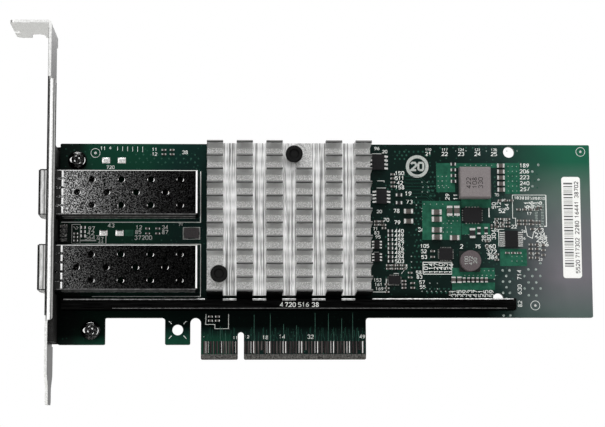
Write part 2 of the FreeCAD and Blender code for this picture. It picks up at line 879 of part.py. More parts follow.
def pin_spring(x, z):
    """Open coil between the sink's floor and a push pin's head."""
    seat = sink_floor + pin_spot_depth - spring_wire
    climb = pin_head_lift - 2 * spring_wire
    steps_a_turn = 12
    count = spring_turns * steps_a_turn
    points = []
    for i in range(count + 1):
        turn = 2 * math.pi * i / steps_a_turn
        points.append(Vector(x + spring_radius * math.cos(turn), seat - climb * i / count,
                             z + spring_radius * math.sin(turn)))
    path = Part.BSplineCurve()
    path.interpolate(points)
    ring = Part.makeCircle(spring_wire, points[0], path.tangent(path.FirstParameter)[0])
    return Part.Wire(path.toShape()).makePipeShell([Part.Wire(ring)], True, False)


# ---------------------------------------------------------------- fasteners and bar

def pan_screw(x, z, y_head, out, radius, head_radius, head_height, length):
    """Cross-recess pan-head screw along Y; out is -1 if its head stands out towards -Y."""
    # The head's shape in shares of its own radius and height.
    dome = head_height * 0.55
    start = Vector(head_radius, 0, 0)
    shoulder = Vector(head_radius, head_height - dome, 0)
    crown = Vector(head_radius * 0.78, head_height - dome * 0.28, 0)
    top = Vector(head_radius * 0.35, head_height, 0)
    edges = [Part.makeLine(start, shoulder), Part.Arc(shoulder, crown, top).toShape(),
             Part.makeLine(top, Vector(0, head_height, 0)),
             Part.makeLine(Vector(0, head_height, 0), Vector(0, -length, 0)),
             Part.makeLine(Vector(0, -length, 0), Vector(radius, -length, 0)),
             Part.makeLine(Vector(radius, -length, 0), Vector(radius, 0, 0)),
             Part.makeLine(Vector(radius, 0, 0), start)]
    screw = Part.Face(Part.Wire(edges)).revolve(Vector(0, 0, 0), Vector(0, 1, 0), 360)
    arm = head_radius * 0.56
    blade = head_radius * 0.1
    depth = head_height * 0.6
    for turn in (45, 135):
        slot = box(-arm, arm, head_height - depth, head_height + 1, -blade, blade)
        slot.rotate(Vector(0, 0, 0), Vector(0, 1, 0), turn)
        screw = screw.cut(slot)
    if out < 0:
        screw.rotate(Vector(0, 0, 0), Vector(1, 0, 0), 180)
    screw.translate(Vector(x, y_head, z))
    return screw


def bracket_screws():
    length = board_thickness + sheet + screw_spare
    return [pan_screw(x, z, board_front, -1, screw_radius, screw_head_radius, screw_head_height, length)
            for x, z in (upper_screw, lower_screw)]


def stiffener_bar():
    """Rounded black bar along the board's lower edge, with blind holes for its screws."""
    bar = box(bar_left, bar_right, board_front - bar_rise, board_front,
              bar_bottom, bar_bottom + bar_height)
    front = board_front - bar_rise
    bar = bar.makeFillet(bar_edge, [edge_at(bar, None, front, bar_bottom),
                                    edge_at(bar, None, front, bar_bottom + bar_height)])
    return bar.cut([rod(x, bar_middle, bar_screw_radius, board_front - bar_screw_bite, board_front + 1)
                    for x in bar_screws])


def stiffener_screws():
    """Screws from the solder side into the bar."""
    length = board_thickness + bar_screw_bite
    return [pan_screw(x, bar_middle, board_back, 1, bar_screw_radius, bar_screw_head_radius,
                      bar_screw_head_height, length) for x in bar_screws]


# ---------------------------------------------------------------- small components

def package(place, body, stand=0.0):
    """Plain package body at (x, z); body is (width, height, rise) and stand the gap under it."""
    width, height, rise = body
    return on_board(*place, width, height, rise - stand, stand)


def chip(place, size):
    """Two-terminal chip: its body and the two metal ends on its longer axis."""
    x, z = place
    width, height, rise = size
    lying = width >= height
    end = terminal_share * max(width, height)
    lip = terminal_lip
    if lying:
        body = on_board(x, z, width - 2 * end, height, rise)
    else:
        body = on_board(x, z, width, height - 2 * end, rise)
    ends = []
    for side in (-1, 1):
        if lying:
            ends.append(on_board(x + side * (width - end) / 2, z, end, height + 2 * lip, rise + lip))
        else:
            ends.append(on_board(x, z + side * (height - end) / 2, width + 2 * lip, end, rise + lip))
    return body, ends


def column(first, pitch, count, size):
    """Chips of one size going down from the first place."""
    x, z = first
    return [chip((x, z - k * pitch), size) for k in range(count)]


def row(first, pitch, count, size):
    """Chips of one size going right from the first place."""
    x, z = first
    return [chip((x + k * pitch, z), size) for k in range(count)]


def capacitors():
    """Body and metal ends of every ceramic capacitor."""
    lower_bank = (output_bank[0], output_bank[1] - output_bank_drop)
    return (column(output_bank, output_pitch, output_count, output_capacitor)
            + column(lower_bank, output_pitch, output_count, output_capacitor)
            + row(upright_bank, output_pitch, output_count, upright_capacitor)
            + [chip(filter_place, filter_capacitor)]
            + column(core_bank, core_pitch, core_count, core_capacitor)
            + column(input_bank, input_pitch, input_count, input_capacitor)
            + row(bulk_bank, bulk_pitch, bulk_count, bulk_capacitor)
            + row(bypass_bank, bypass_pitch, bypass_count, bypass_capacitor))


def resistors():
    """Body and metal ends of every chip resistor."""
    return (column(strap_bank, strap_pitch, strap_count, strap_resistor)
            + column(sense_bank, sense_pitch, sense_count, sense_resistor)
            + column(gate_bank, gate_pitch, gate_count, gate_resistor)
            + [chip(shunt_place, shunt_resistor)]
            + row(divider_bank, divider_pitch, divider_count, divider_resistor)
            + column(light_bank, light_bank_pitch, light_bank_count, light_resistor))


def leaded(place, body, pins, pitch, reach):
    """A package with gull-wing leads: its body and its leads."""
    width, _, rise = body
    leads = gull_leads(*place, width, pins, pitch, reach, rise / 2, pitch / 2)
    return package(place, body, package_stand), leads


def leaded_packages():
    """Bodies by node name, and all leads, of the packages with gull-wing leads."""
    lower_logic_place = (logic_place[0], logic_place[1] - logic_spacing)
    groups = {
        "flash_memory": [leaded(flash_place, flash_body, package_pin_count, flash_pitch,
                                flash_reach),
                         leaded(small_flash_place, small_flash_body, package_pin_count,
                                small_flash_pitch, flash_reach)],
        "logic_chips": [leaded(place, logic_body, logic_pin_count, logic_pitch, logic_reach)
                        for place in (logic_place, lower_logic_place)],
        "power_controller": [leaded(power_controller_place, power_controller_body,
                                    power_controller_pin_count, power_controller_pitch,
                                    power_controller_reach)],
    }
    bodies = {name: [body for body, _ in members] for name, members in groups.items()}
    leads = [lead for members in groups.values() for _, some in members for lead in some]
    return bodies, leads


def square_inductor():
    """Pressed-powder power inductor with bevelled top edges."""
    x, z = square_coil
    half = square_coil_size / 2
    body = on_board(x, z, square_coil_size, square_coil_size, square_coil_rise, terminal_thickness)
    top = board_front - terminal_thickness - square_coil_rise
    around = [edge_at(body, x, top, z + half), edge_at(body, x, top, z - half),
              edge_at(body, x + half, top, z), edge_at(body, x - half, top, z)]
    return body.makeChamfer(square_coil_bevel, around)


def inductor_terminals():
    """Flat terminals under the square inductor's two sides."""
    x, z = square_coil
    width, height = square_coil_terminal
    offset = (square_coil_size - width) / 2
    return [on_board(x + side * offset, z, width, height, terminal_thickness) for side in (-1, 1)]


def drum_ring(radius):
    """Ring of the given radius that fills the drum's winding groove."""
    x, z = drum_coil
    low, high = drum_groove
    return rod(x, z, radius, board_front - high, board_front - low).cut(
        rod(x, z, drum_core_radius, board_front - high, board_front - low))


def round_inductor():
    """Flanged ferrite drum on its square base, with a groove for the winding."""
    x, z = drum_coil
    base = on_board(x, z, drum_base_size, drum_base_size, drum_base_rise)
    drum = rod(x, z, drum_radius, board_front - drum_rise, board_front - drum_base_rise)
    return join([base, drum.cut(drum_ring(drum_radius + 1))])


def paper_label():
    """Long paper label with rounded corners near the board's free end."""
    corners = rectangle(label_left, label_right, label_bottom, label_top, label_corner)
    return outline(corners, on_front_face).extrude(Vector(0, -label_thickness, 0))


# ---------------------------------------------------------------- write the nodes

def build():
    """Every node's name and its solids."""
    nodes = {
        "circuit_board": [circuit_board()],
        "contacts_front": contacts(board_front - contact_thickness, short_front_contacts),
        "contacts_back": contacts(board_back, short_back_contacts),
        "mounting_bracket": [mounting_bracket()],
        "bracket_screws": bracket_screws(),
        "bracket_gasket": [gasket()],
        "status_lights": status_lights(),
        "controller_chip": [controller_chip()],
        "thermal_pad": [on_board(chip_x, chip_z, lid_size, lid_size, pad_thickness,
                                 chip_rise + lid_rise)],
        "heat_sink": [heat_sink()],
        "heat_sink_push_pins": [push_pin(x, z) for x, z in push_pins],
        "heat_sink_springs": [pin_spring(x, z) for x, z in push_pins],
        "stiffener_bar": [stiffener_bar()],
        "stiffener_screws": stiffener_screws(),
        "square_inductor": [square_inductor()],
        "square_inductor_terminals": inductor_terminals(),
        "round_inductor": [round_inductor()],
        "round_inductor_winding": [drum_ring(winding_radius)],
        "power_stage_chip": [package(power_stage_place, power_stage_body)],
        "regulator_chip": [package(regulator_place, regulator_body)],
        "clock_buffer_chip": [package(clock_buffer_place, clock_buffer_body)],
        "crystal_oscillator": [package((cage_rear - crystal_from_cage, crystal_z), crystal_body)],
        "paper_label": [paper_label()],
    }
    for name, z in port_heights.items():
        nodes["port_cage_" + name] = [cage_base(z)]
        nodes["port_cover_" + name] = [cage_cover(z)]
        nodes["port_spring_collar_" + name] = [spring_collar(z)]
        nodes["port_socket_" + name] = [port_socket(z)]
        nodes["port_contacts_" + name] = socket_blades(z)
    nodes["ceramic_capacitors"] = [body for body, _ in capacitors()]
    nodes["chip_resistors"] = [body for body, _ in resistors()]
    nodes["chip_terminals"] = [end for _, ends in capacitors() + resistors() for end in ends]
    bodies, nodes["chip_leads"] = leaded_packages()
    nodes.update(bodies)
    return nodes


def main():
    os.makedirs("parts", exist_ok=True)
    for name, solids in build().items():
        shape = solids[0] if len(solids) == 1 else Part.makeCompound(solids)
        shape.exportStep("parts/" + name + ".step")


main()
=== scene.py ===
import math
import bpy
import numpy as np
from mathutils import Matrix, Vector

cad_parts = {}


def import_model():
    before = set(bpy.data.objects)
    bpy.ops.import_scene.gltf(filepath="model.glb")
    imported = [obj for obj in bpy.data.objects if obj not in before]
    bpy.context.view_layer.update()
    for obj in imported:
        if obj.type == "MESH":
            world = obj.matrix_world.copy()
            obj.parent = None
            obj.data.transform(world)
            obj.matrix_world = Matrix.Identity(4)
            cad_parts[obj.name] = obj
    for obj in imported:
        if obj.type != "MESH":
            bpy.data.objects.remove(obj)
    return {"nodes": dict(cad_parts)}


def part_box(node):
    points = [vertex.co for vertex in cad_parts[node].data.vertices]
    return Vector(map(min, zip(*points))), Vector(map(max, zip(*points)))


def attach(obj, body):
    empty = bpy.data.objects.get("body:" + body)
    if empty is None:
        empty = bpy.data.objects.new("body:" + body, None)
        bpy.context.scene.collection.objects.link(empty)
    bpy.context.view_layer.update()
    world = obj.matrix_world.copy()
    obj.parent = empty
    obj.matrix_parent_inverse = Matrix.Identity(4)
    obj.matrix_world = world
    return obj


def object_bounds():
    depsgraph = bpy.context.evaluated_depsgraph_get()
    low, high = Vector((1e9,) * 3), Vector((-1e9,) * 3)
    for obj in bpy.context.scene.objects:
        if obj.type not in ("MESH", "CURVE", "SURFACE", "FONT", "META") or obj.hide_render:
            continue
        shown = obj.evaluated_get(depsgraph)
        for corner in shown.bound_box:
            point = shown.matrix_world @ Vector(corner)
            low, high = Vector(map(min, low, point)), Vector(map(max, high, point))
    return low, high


# A dual-port network interface card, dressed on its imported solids. Blender works in metres; a
# length that is easier to read in millimetres is multiplied by MM. The component side faces -Y,
# and artwork is placed by (x, z) in millimetres in the card's own frame, whose origin is the key
# notch of the edge connector.

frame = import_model()
cad_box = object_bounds()
nodes = frame["nodes"]
MM = 0.001
PI = math.pi


def box(node):
    """Low and high corner of a node, in millimetres."""
    return [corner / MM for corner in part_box(node)]


board_low, board_high = box("circuit_board")
FACE = board_low.y                   # component face
BACK = board_high.y                  # solder face
PORTS = ("upper", "lower")
INK = 0.02                           # rise of ink, and of lines as thin as ink

# Where the heat sink's columns and rows of fins lie, the cages' vents and fingers, the bracket's
# near flange, the bar's rounding and the ring mark, in mm.
COLUMN_PITCH = 9.33
COLUMN_WIDTH = 5.1
FIN_COLUMNS = 6
FIN_ROWS = 12
FIN_PITCH = 4.26
FIN_TIP = 0.7
FIN_ROOT = 1.7
FIN_HEIGHT = 8.6
PIN_HEAD = 2.7
PIN_CLEAR = 4.5
VENT_START = 12
VENT_PITCH = 9.2
VENT_ROW = 4.06
VENT_RADIUS = 1.0
FINGER_PITCH = 2.85
FINGER_COUNT = 5
FLANGE_START = 12.3
FLANGE_WIDTH = 2.4
BAR_EDGE = 0.4
RING_MARK = (56.5, 61.8)


# ---------------------------------------------------------------- shader helpers

def rgba(value):
    """Linear RGBA of an sRGB hex colour, or of one level of grey."""
    if not isinstance(value, str):
        return (value, value, value, 1.0)
    values = [int(value[i:i + 2], 16) / 255 for i in (1, 3, 5)]
    linear = [v / 12.92 if v <= 0.04045 else ((v + 0.055) / 1.055) ** 2.4 for v in values]
    return (*linear, 1.0)


def add(tree, kind, links=(), operation=None, **settings):
    """Adds a shader node with its settings: operation is what a Math node does, a Mix node mixes
    colours, and stops are a colour ramp's (position, colour) pairs. links fill its inputs: a dict
    by their names, a list in the order of those in use. Each is a value, a hex colour, a socket,
    or a node that stands for its first output in use."""
    made = tree.nodes.new("ShaderNode" + kind)
    if operation:
        made.operation = operation
    if kind == "Mix":
        made.data_type = "RGBA"
    for place, (position, colour) in enumerate(settings.pop("stops", ())):
        elements = made.color_ramp.elements
        element = elements[place] if place < 2 else elements.new(1.0)
        element.position = position
        element.color = rgba(colour)
    for name, value in settings.items():
        setattr(made, name, value)
    if isinstance(links, dict):
        inputs = [made.inputs[name] for name in links]
        links = links.values()
    else:
        inputs = [socket for socket in made.inputs if socket.enabled]
    for socket, value in zip(inputs, links):
        if isinstance(value, bpy.types.Node):
            value = next(output for output in value.outputs if output.enabled)
        if isinstance(value, bpy.types.NodeSocket):
            tree.links.new(value, socket)
        else:
            socket.default_value = rgba(value) if isinstance(value, str) else value
    return made


def material(name):
    """Empty node material; returns it, its tree and the Object coordinates."""
    made = bpy.data.materials.new(name)
    made.use_nodes = True
    tree = made.node_tree
    tree.nodes.clear()
    return made, tree, add(tree, "TexCoord").outputs["Object"]


def facing(tree):
    """Components of the direction that the surface faces."""
    return add(tree, "SeparateXYZ", [add(tree, "NewGeometry").outputs["Normal"]]).outputs


def finish(made, height, relief_mm, sockets, strength=0.4):
    """Joins a Principled shader with the given sockets, on a relief that follows height, to the
    material's output, and returns the material."""
    tree = made.node_tree
    bump = add(tree, "Bump", {"Height": height, "Strength": strength, "Distance": relief_mm * MM})
    surface = add(tree, "BsdfPrincipled", {**sockets, "Normal": bump})
    add(tree, "OutputMaterial", {"Surface": surface})
    return made


# ---------------------------------------------------------------- finishes

def solder_mask():
    """Epoxy-glass laminate under liquid photo-imaged solder mask: a glossy, very dark green skin
    with fine pale specks of tented vias. Its green is painted with light and shade along the card,
    nearly black beside the bracket. Towards the free end a painted sheen turns it grey, with a purple
    cast low down and a green one along the top edge. It is black in the stiffener bar's shade. The
    bevel below the contacts is bare, scuffed laminate and the routed edges are a dull, dark green."""
    made, tree, place = material("solder_mask")
    x, y, z = add(tree, "SeparateXYZ", [place]).outputs
    along = add(tree, "MapRange", [x, board_low.x * MM, board_high.x * MM])
    up = add(tree, "MapRange", [z, board_low.z * MM, board_high.z * MM])
    cloud = add(tree, "TexNoise", [place, 1 / (14 * MM), 2.0])
    drift = add(tree, "MapRange", [cloud, 0, 1, -0.04, 0.04])
    shifted = add(tree, "Math", [along, drift], "ADD")
    # Painted light and shade along the card: nearly black beside the bracket, greener past it, darker
    # in the middle and lighter towards the free end.
    body = add(tree, "ValToRGB", [shifted], stops=[
        (0.0, "#03100c"), (0.03, "#04130e"), (0.06, "#063425"), (0.16, "#063627"),
        (0.22, "#052722"), (0.3, "#051b18"), (0.72, "#051814"), (0.84, "#1c2f2c")])
    # Painted sheen that takes over towards the free end: grey, with a purple cast low down and a green
    # one along the top edge.
    end = add(tree, "ValToRGB", [up], stops=[
        (0.15, "#445852"), (0.38, "#6b686e"), (0.62, "#64676a"), (0.78, "#54665f"), (0.92, "#1c5843")])
    bare = add(tree, "MapRange", [shifted, 0.83, 0.95])
    ground = add(tree, "Mix", [bare, body, end])
    # Tented vias: small pale dots of uneven size, which stop towards the free end, where the painted
    # sheen takes over.
    cells = add(tree, "TexVoronoi", {"Vector": place, "Scale": 1 / (1.5 * MM)})
    dot = add(tree, "MapRange", [cells, 0.2, 0.1, 0, 0.5])
    short_of_sheen = add(tree, "Math", [shifted, 0.86], "LESS_THAN")
    speck = add(tree, "Math", [dot, short_of_sheen], "MULTIPLY")
    dotted = add(tree, "Mix", [speck, ground, "#2f5a4b"])
    # The skirt's lower edge catches green light beside the connector's first contacts.
    skirt = add(tree, "MapRange", [z, 9.5 * MM, 6.0 * MM, 0, 0.7])
    inside = add(tree, "Math", [x, -22.5 * MM, 19.5 * MM], "COMPARE")
    lit = add(tree, "Math", [skirt, inside], "MULTIPLY")
    skirted = add(tree, "Mix", [lit, dotted, "#093d2b"])
    # The stiffener bar shades a band of the component side, lower on the bracket screw's tab.
    tab = add(tree, "Math", [x, -42.3 * MM], "LESS_THAN")
    start = add(tree, "Math", [tab, -2.7 * MM, 7.5 * MM], "MULTIPLY_ADD")
    stop = add(tree, "Math", [start, 3.0 * MM], "ADD")
    lower = add(tree, "MapRange", [z, start, stop])
    upper = add(tree, "MapRange", [z, 22 * MM, 19 * MM])
    short = add(tree, "MapRange", [x, 86 * MM, 78 * MM, 0, 0.9])
    band = add(tree, "Math", [lower, upper], "MULTIPLY")
    near = add(tree, "Math", [y, BACK / 2 * MM], "LESS_THAN")
    deep = add(tree, "Math", [near, short], "MULTIPLY")
    shade = add(tree, "Math", [band, deep], "MULTIPLY")
    shaded = add(tree, "Mix", [shade, skirted, "#020504"])
    gloss = add(tree, "MapRange", [shade, 0, 1, 0.08, 0.01])
    scuff = add(tree, "TexNoise", [place, 1 / (0.4 * MM), 2.0])
    laminate = add(tree, "ValToRGB", [scuff], stops=[(0.35, "#2b2a29"), (0.65, "#686764")])
    low = add(tree, "Math", [z, 1.7 * MM], "LESS_THAN")
    bevelled = add(tree, "Mix", [low, shaded, laminate])
    side = add(tree, "Math", [facing(tree)["Y"]], "ABSOLUTE")
    edge = add(tree, "Math", [side, 0.5], "LESS_THAN")
    colour = add(tree, "Mix", [edge, bevelled, "#2b3a2c"])
    weave = add(tree, "TexNoise", [place, 1 / (0.5 * MM), 1.0])
    return finish(made, weave, 0.01, {"Base Color": colour, "Roughness": 0.34, "IOR": 1.5,
                                      "Specular IOR Level": gloss}, strength=0.25)


def metal(name, dark, light, roughness, grain_mm, stretch=(1, 1, 1), between=(0.35, 0.65),
          edge=1.0, fall=None):
    """Bare or plated metal: two tones mixed by a grain of the given size, which also varies the
    roughness and raises a fine relief. The tones change over between two levels of the grain.
    stretch draws the grain out along an axis where it is below one, and edge is the tint that the
    metal takes at grazing angles. fall is a painted sheen that changes along the card: its first and
    last x in mm, and the stops of its levels between them. With it, sides that look down at the next
    part are painted dark, in its shade."""
    made, tree, place = material(name)
    mapped = add(tree, "Mapping", {"Vector": place, "Scale": stretch})
    noise = add(tree, "TexNoise", [mapped, 1 / (grain_mm * MM), 5.0])
    level = add(tree, "MapRange", [noise, *between])
    tone = add(tree, "Mix", [level, dark, light])
    if fall:
        start, stop, stops = fall
        x = add(tree, "SeparateXYZ", [place]).outputs["X"]
        along = add(tree, "MapRange", [x, start * MM, stop * MM])
        sheen = add(tree, "ValToRGB", [along], stops=stops)
        dimmed = add(tree, "Mix", [1.0, tone, sheen], blend_type="MULTIPLY")
        # Painted shade on the sides that look down.
        down = add(tree, "Math", [facing(tree)["Z"], -0.7], "LESS_THAN")
        tone = add(tree, "Mix", [down, dimmed, "#161616"])
    rough = add(tree, "MapRange", [noise, 0, 1, roughness * 0.8, roughness * 1.25])
    return finish(made, noise, 0.02, {"Base Color": tone, "Metallic": 1.0, "Roughness": rough,
                                      "Specular Tint": rgba(edge)})


def zinc_sheet():
    """Folded sheet, zinc plated: nearly white and satin with a fine spangle. It is painted darker on
    the faces that look along the card, for the dark cages and board that they reflect, and painted
    in shade on the flange behind the board. The near flange has a painted shade line beside its
    free edge, and is grey beyond it."""
    made, tree, place = material("zinc_plated_sheet")
    x, y, _ = add(tree, "SeparateXYZ", [place]).outputs
    towards = facing(tree)
    noise = add(tree, "TexNoise", [place, 1 / (0.45 * MM), 4.0])
    spangle = add(tree, "ValToRGB", [noise], stops=[(0.36, "#e4e4e2"), (0.62, "#fbfbfa")])
    # Painted reflection: faces that look along the card are darker.
    inward = add(tree, "Math", [towards["X"], 0.7], "GREATER_THAN")
    inward_shade = add(tree, "Mix", [inward, spangle, "#5a5a59"])
    # Painted shade on the flange behind the board.
    behind = add(tree, "Math", [y, 0.0], "GREATER_THAN")
    front = add(tree, "Math", [towards["Y"], -0.7], "LESS_THAN")
    shaded = add(tree, "Math", [behind, front], "MULTIPLY")
    dark = add(tree, "Mix", [shaded, inward_shade, "#1c1c1c"])
    # Painted shade line beside the near flange's free edge, with grey beyond it.
    outer = box("mounting_bracket")[0].x + FLANGE_START
    across = add(tree, "MapRange", [x, outer * MM, (outer + FLANGE_WIDTH) * MM])
    flange_edge_shade = add(tree, "ValToRGB", [across], stops=[(0.66, 1.0), (0.72, 0.05), (0.78, 0.05),
                                                 (0.84, 0.5), (1.0, 0.4)])
    nearest = add(tree, "Math", [y, -15.2 * MM], "LESS_THAN")
    flange_front = add(tree, "Math", [nearest, front], "MULTIPLY")
    colour = add(tree, "Mix", [flange_front, dark, flange_edge_shade], blend_type="MULTIPLY")
    rough = add(tree, "MapRange", [noise, 0, 1, 0.26, 0.4])
    return finish(made, noise, 0.02, {"Base Color": colour, "Metallic": 1.0, "Roughness": rough,
                                      "Specular Tint": rgba(0.58)})


def extruded_aluminium():
    """Aluminium extrusion cross-cut into fins. The channels between its columns keep the bright
    die lines that run with the extrusion, with painted light between each pair of fins and painted
    shade level with them. The fins are satin from the saw, with painted shade on their tips and a
    painted highlight on their undersides, and the foot of the lowest ones, which only sees the black
    bar, is painted in shade."""
    low, _ = box("heat_sink")
    made, tree, place = material("extruded_aluminium")
    x, y, z = add(tree, "SeparateXYZ", [place]).outputs
    past = add(tree, "Math", [x, low.x * MM], "SUBTRACT")
    pitches = add(tree, "Math", [past, COLUMN_PITCH * MM], "DIVIDE")
    share = add(tree, "Math", [pitches], "FRACT")
    channel = add(tree, "Math", [share, COLUMN_WIDTH / COLUMN_PITCH], "GREATER_THAN")
    mapped = add(tree, "Mapping", {"Vector": place, "Scale": (1, 0.3, 0.02)})
    lines = add(tree, "TexNoise", [mapped, 1 / (0.36 * MM), 3.0])
    streaks = add(tree, "ValToRGB", [lines],
                  stops=[(0.4, "#939393"), (0.5, "#dadad9"), (0.58, "#ffffff")])
    # Painted light and shade down the channels, in step with the rows of fins.
    risen = add(tree, "Math", [z, low.z * MM], "SUBTRACT")
    rows = add(tree, "Math", [risen, FIN_PITCH * MM], "DIVIDE")
    ripple = add(tree, "Math", [rows, 0.5], "PINGPONG")
    glow = add(tree, "MapRange", [ripple, 0, 0.5, 0.66, 1.0])
    banded = add(tree, "Mix", [1.0, streaks, glow], blend_type="MULTIPLY")
    brushed = add(tree, "Mapping", {"Vector": place, "Scale": (0.6, 1, 1)})
    saw = add(tree, "TexNoise", [brushed, 1 / (0.24 * MM), 3.0])
    satin = add(tree, "ValToRGB", [saw], stops=[(0.35, "#9c9c9b"), (0.65, "#e6e6e5")])
    bright = add(tree, "Mix", [channel, satin, banded])
    # Painted highlight on the fins' undersides, and painted shade on their tips.
    under = add(tree, "Math", [facing(tree)["Z"], -0.7], "LESS_THAN")
    undersides = add(tree, "Mix", [under, bright, "#f4f4f4"])
    tip = add(tree, "Math", [y, (low.y + 0.2) * MM], "LESS_THAN")
    tipped = add(tree, "Mix", [tip, undersides, "#8a8a89"])
    # Painted shade on the foot of the lowest fins, outside the channels.
    foot = add(tree, "Math", [z, (low.z + 0.48) * MM], "LESS_THAN")
    solid = add(tree, "Math", [foot, channel], "SUBTRACT")
    sole = add(tree, "Math", [solid, 0.0], "MAXIMUM")
    colour = add(tree, "Mix", [sole, tipped, "#141414"])
    return finish(made, lines, 0.03, {"Base Color": colour, "Metallic": 1.0, "Roughness": 0.42,
                                      "Specular Tint": rgba(0.8)})


def moulding(name, dark, light, roughness, grain_mm, gloss=0.5, between=(0.3, 0.7), foot=None):
    """Moulded, fired or printed non-metal: two tones that change over between two levels of its
    grain, with the grain's relief; gloss is the shader's specular level. foot is how high over the
    board a painted shade on the base reaches, in mm, and the colour of that shade."""
    made, tree, place = material(name)
    noise = add(tree, "TexNoise", [place, 1 / (grain_mm * MM), 4.0])
    level = add(tree, "MapRange", [noise, *between])
    tone = add(tree, "Mix", [level, dark, light])
    # Painted shade on the base, next to the board.
    if foot:
        y = add(tree, "SeparateXYZ", [place]).outputs["Y"]
        low = add(tree, "Math", [y, (FACE - foot[0]) * MM], "GREATER_THAN")
        tone = add(tree, "Mix", [low, tone, foot[1]])
    rough = add(tree, "MapRange", [noise, 0, 1, roughness * 0.85, roughness * 1.15])
    return finish(made, noise, 0.01, {"Base Color": tone, "Roughness": rough,
                                      "Specular IOR Level": gloss})


def clad(names, made):
    """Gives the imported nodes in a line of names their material, and returns it."""
    for node in names.split():
        mesh = nodes[node].data
        mesh.materials.clear()
        mesh.materials.append(made)
    return made


# Solder mask over bare laminate, over the copper pours that lift its green, and with a painted
# highlight over the traces that take the light.
clad("circuit_board", solder_mask())
pour_mask = moulding("solder_mask_on_copper", "#174737", "#265f4a", 0.35, 1.5, gloss=0.1)
trace_mask = moulding("solder_mask_on_traces", "#092a20", "#174236", 0.35, 1.0, gloss=0.1)
lit_trace_mask = moulding("solder_mask_on_lit_traces", "#21443a", "#44695c", 0.35, 1.0, gloss=0.1)
tented_mask = moulding("solder_mask_over_vias", "#173a30", "#305a4c", 0.35, 1.0, gloss=0.1)

# Plated and bare metals: edge connector with a few streaks of painted highlight, nickel-plated
# screws, the stamped cages whose painted sheen fades away from the bracket, their finger collars,
# with a painted sheen outside the bracket and painted shade behind it, bracket, springs, heat sink,
# black bar, solder and wire.
# The contacts' light, stretched grain stands for streaks of painted highlight.
clad("contacts_front contacts_back port_contacts_upper port_contacts_lower",
     metal("hard_gold_plating", "#2b2627", "#9a9490", 0.3, 0.4, (1, 1, 0.015), (0.5, 0.76)))
clad("bracket_screws stiffener_screws",
     metal("nickel_plated_screw", "#0d0d0d", "#6f6f6e", 0.18, 0.35, between=(0.5, 0.7)))
low, high = box("port_cover_upper")
# Painted sheen on the cages: the upper brighter than the lower, both fading away from the bracket.
cage_sheens = {"upper": [(0.0, 0.1), (0.012, 0.1), (0.02, 1.0), (0.2, 0.9), (0.35, 0.42),
                         (0.55, 0.17), (0.75, 0.05), (1.0, 0.02)],
               "lower": [(0.0, 0.1), (0.012, 0.1), (0.02, 0.3), (0.2, 0.25), (0.35, 0.11),
                         (0.5, 0.05), (0.75, 0.02), (1.0, 0.015)]}
for port, stops in cage_sheens.items():
    clad(f"port_cage_{port} port_cover_{port}",
         metal("stamped_cage_sheet_" + port, "#1c1c1c", "#ffffff", 0.3, 0.3, between=(0.47, 0.66),
               edge=0.3, fall=(low.x, high.x, stops)))
low, high = box("port_spring_collar_upper")
# Painted sheen on the collars outside the bracket, and painted shade behind it.
collar_sheen = [(0.0, 0.3), (0.05, 0.95), (0.17, 1.0), (0.2, 0.25), (0.24, 0.3), (0.27, 0.9),
                (0.36, 0.8), (0.4, 0.2), (0.5, 0.03)]
clad("port_spring_collar_upper port_spring_collar_lower",
     metal("spring_finger_sheet", "#cfcfcd", "#ffffff", 0.3, 0.9, (1, 1, 0.3),
           fall=(low.x, high.x, collar_sheen)))
# Painted highlights: a near-white metal for glints on contacts, folds, vent rims, finger tips and
# screws.
highlight_metal = metal("painted_highlight", "#f0f0ef", "#ffffff", 0.5, 0.4)
clad("mounting_bracket", zinc_sheet())
clad("heat_sink_springs", metal("drawn_spring_wire", "#8a8a88", "#c2c2c0", 0.25, 0.4))
clad("heat_sink", extruded_aluminium())
die_line = metal("extrusion_die_line", "#e4e4e3", "#ffffff", 0.3, 0.5, (1, 1, 0.1))
clad("stiffener_bar",
     metal("black_anodised_bar", "#040404", "#121212", 0.3, 0.35, (0.06, 1, 1), edge=0.3))
# A grey metal for dimmer painted highlights on the bar's edges and the cages' lower folds and creases.
dim_highlight_metal = metal("dim_painted_highlight", "#707070", "#b9b9b8", 0.35, 0.8)
tin = clad("square_inductor_terminals chip_terminals chip_leads",
           metal("reflowed_tin", "#b2b2b0", "#f6f6f3", 0.24, 0.25))
pad_edge = metal("wetted_pad_edge", "#3e3e3d", "#a9a9a6", 0.4, 0.3)
via_tin = metal("via_tin", "#5c6f68", "#c3ccc8", 0.35, 0.3)
clad("round_inductor_winding", metal("enamelled_copper_wire", "#5c3519", "#8f5a34", 0.3, 0.4))

# Mouldings, ceramics, ferrites, cloth, ink and paper.
clad("bracket_gasket", moulding("metallised_black_cloth", "#0b0b0b", "#2b2b2a", 0.6, 0.25, gloss=0.1))
clad("heat_sink_push_pins port_socket_upper port_socket_lower",
     moulding("moulded_black_nylon", "#060606", "#0d0d0d", 0.5, 0.3, gloss=0.12))
clad("controller_chip power_stage_chip regulator_chip clock_buffer_chip flash_memory logic_chips "
     "power_controller",
     moulding("epoxy_mould_compound", "#0b0b0d", "#1a191b", 0.55, 0.2, gloss=0.15))
clad("square_inductor", moulding("pressed_powder_core", "#6c6667", "#837d7d", 0.6, 0.2, gloss=0.25))
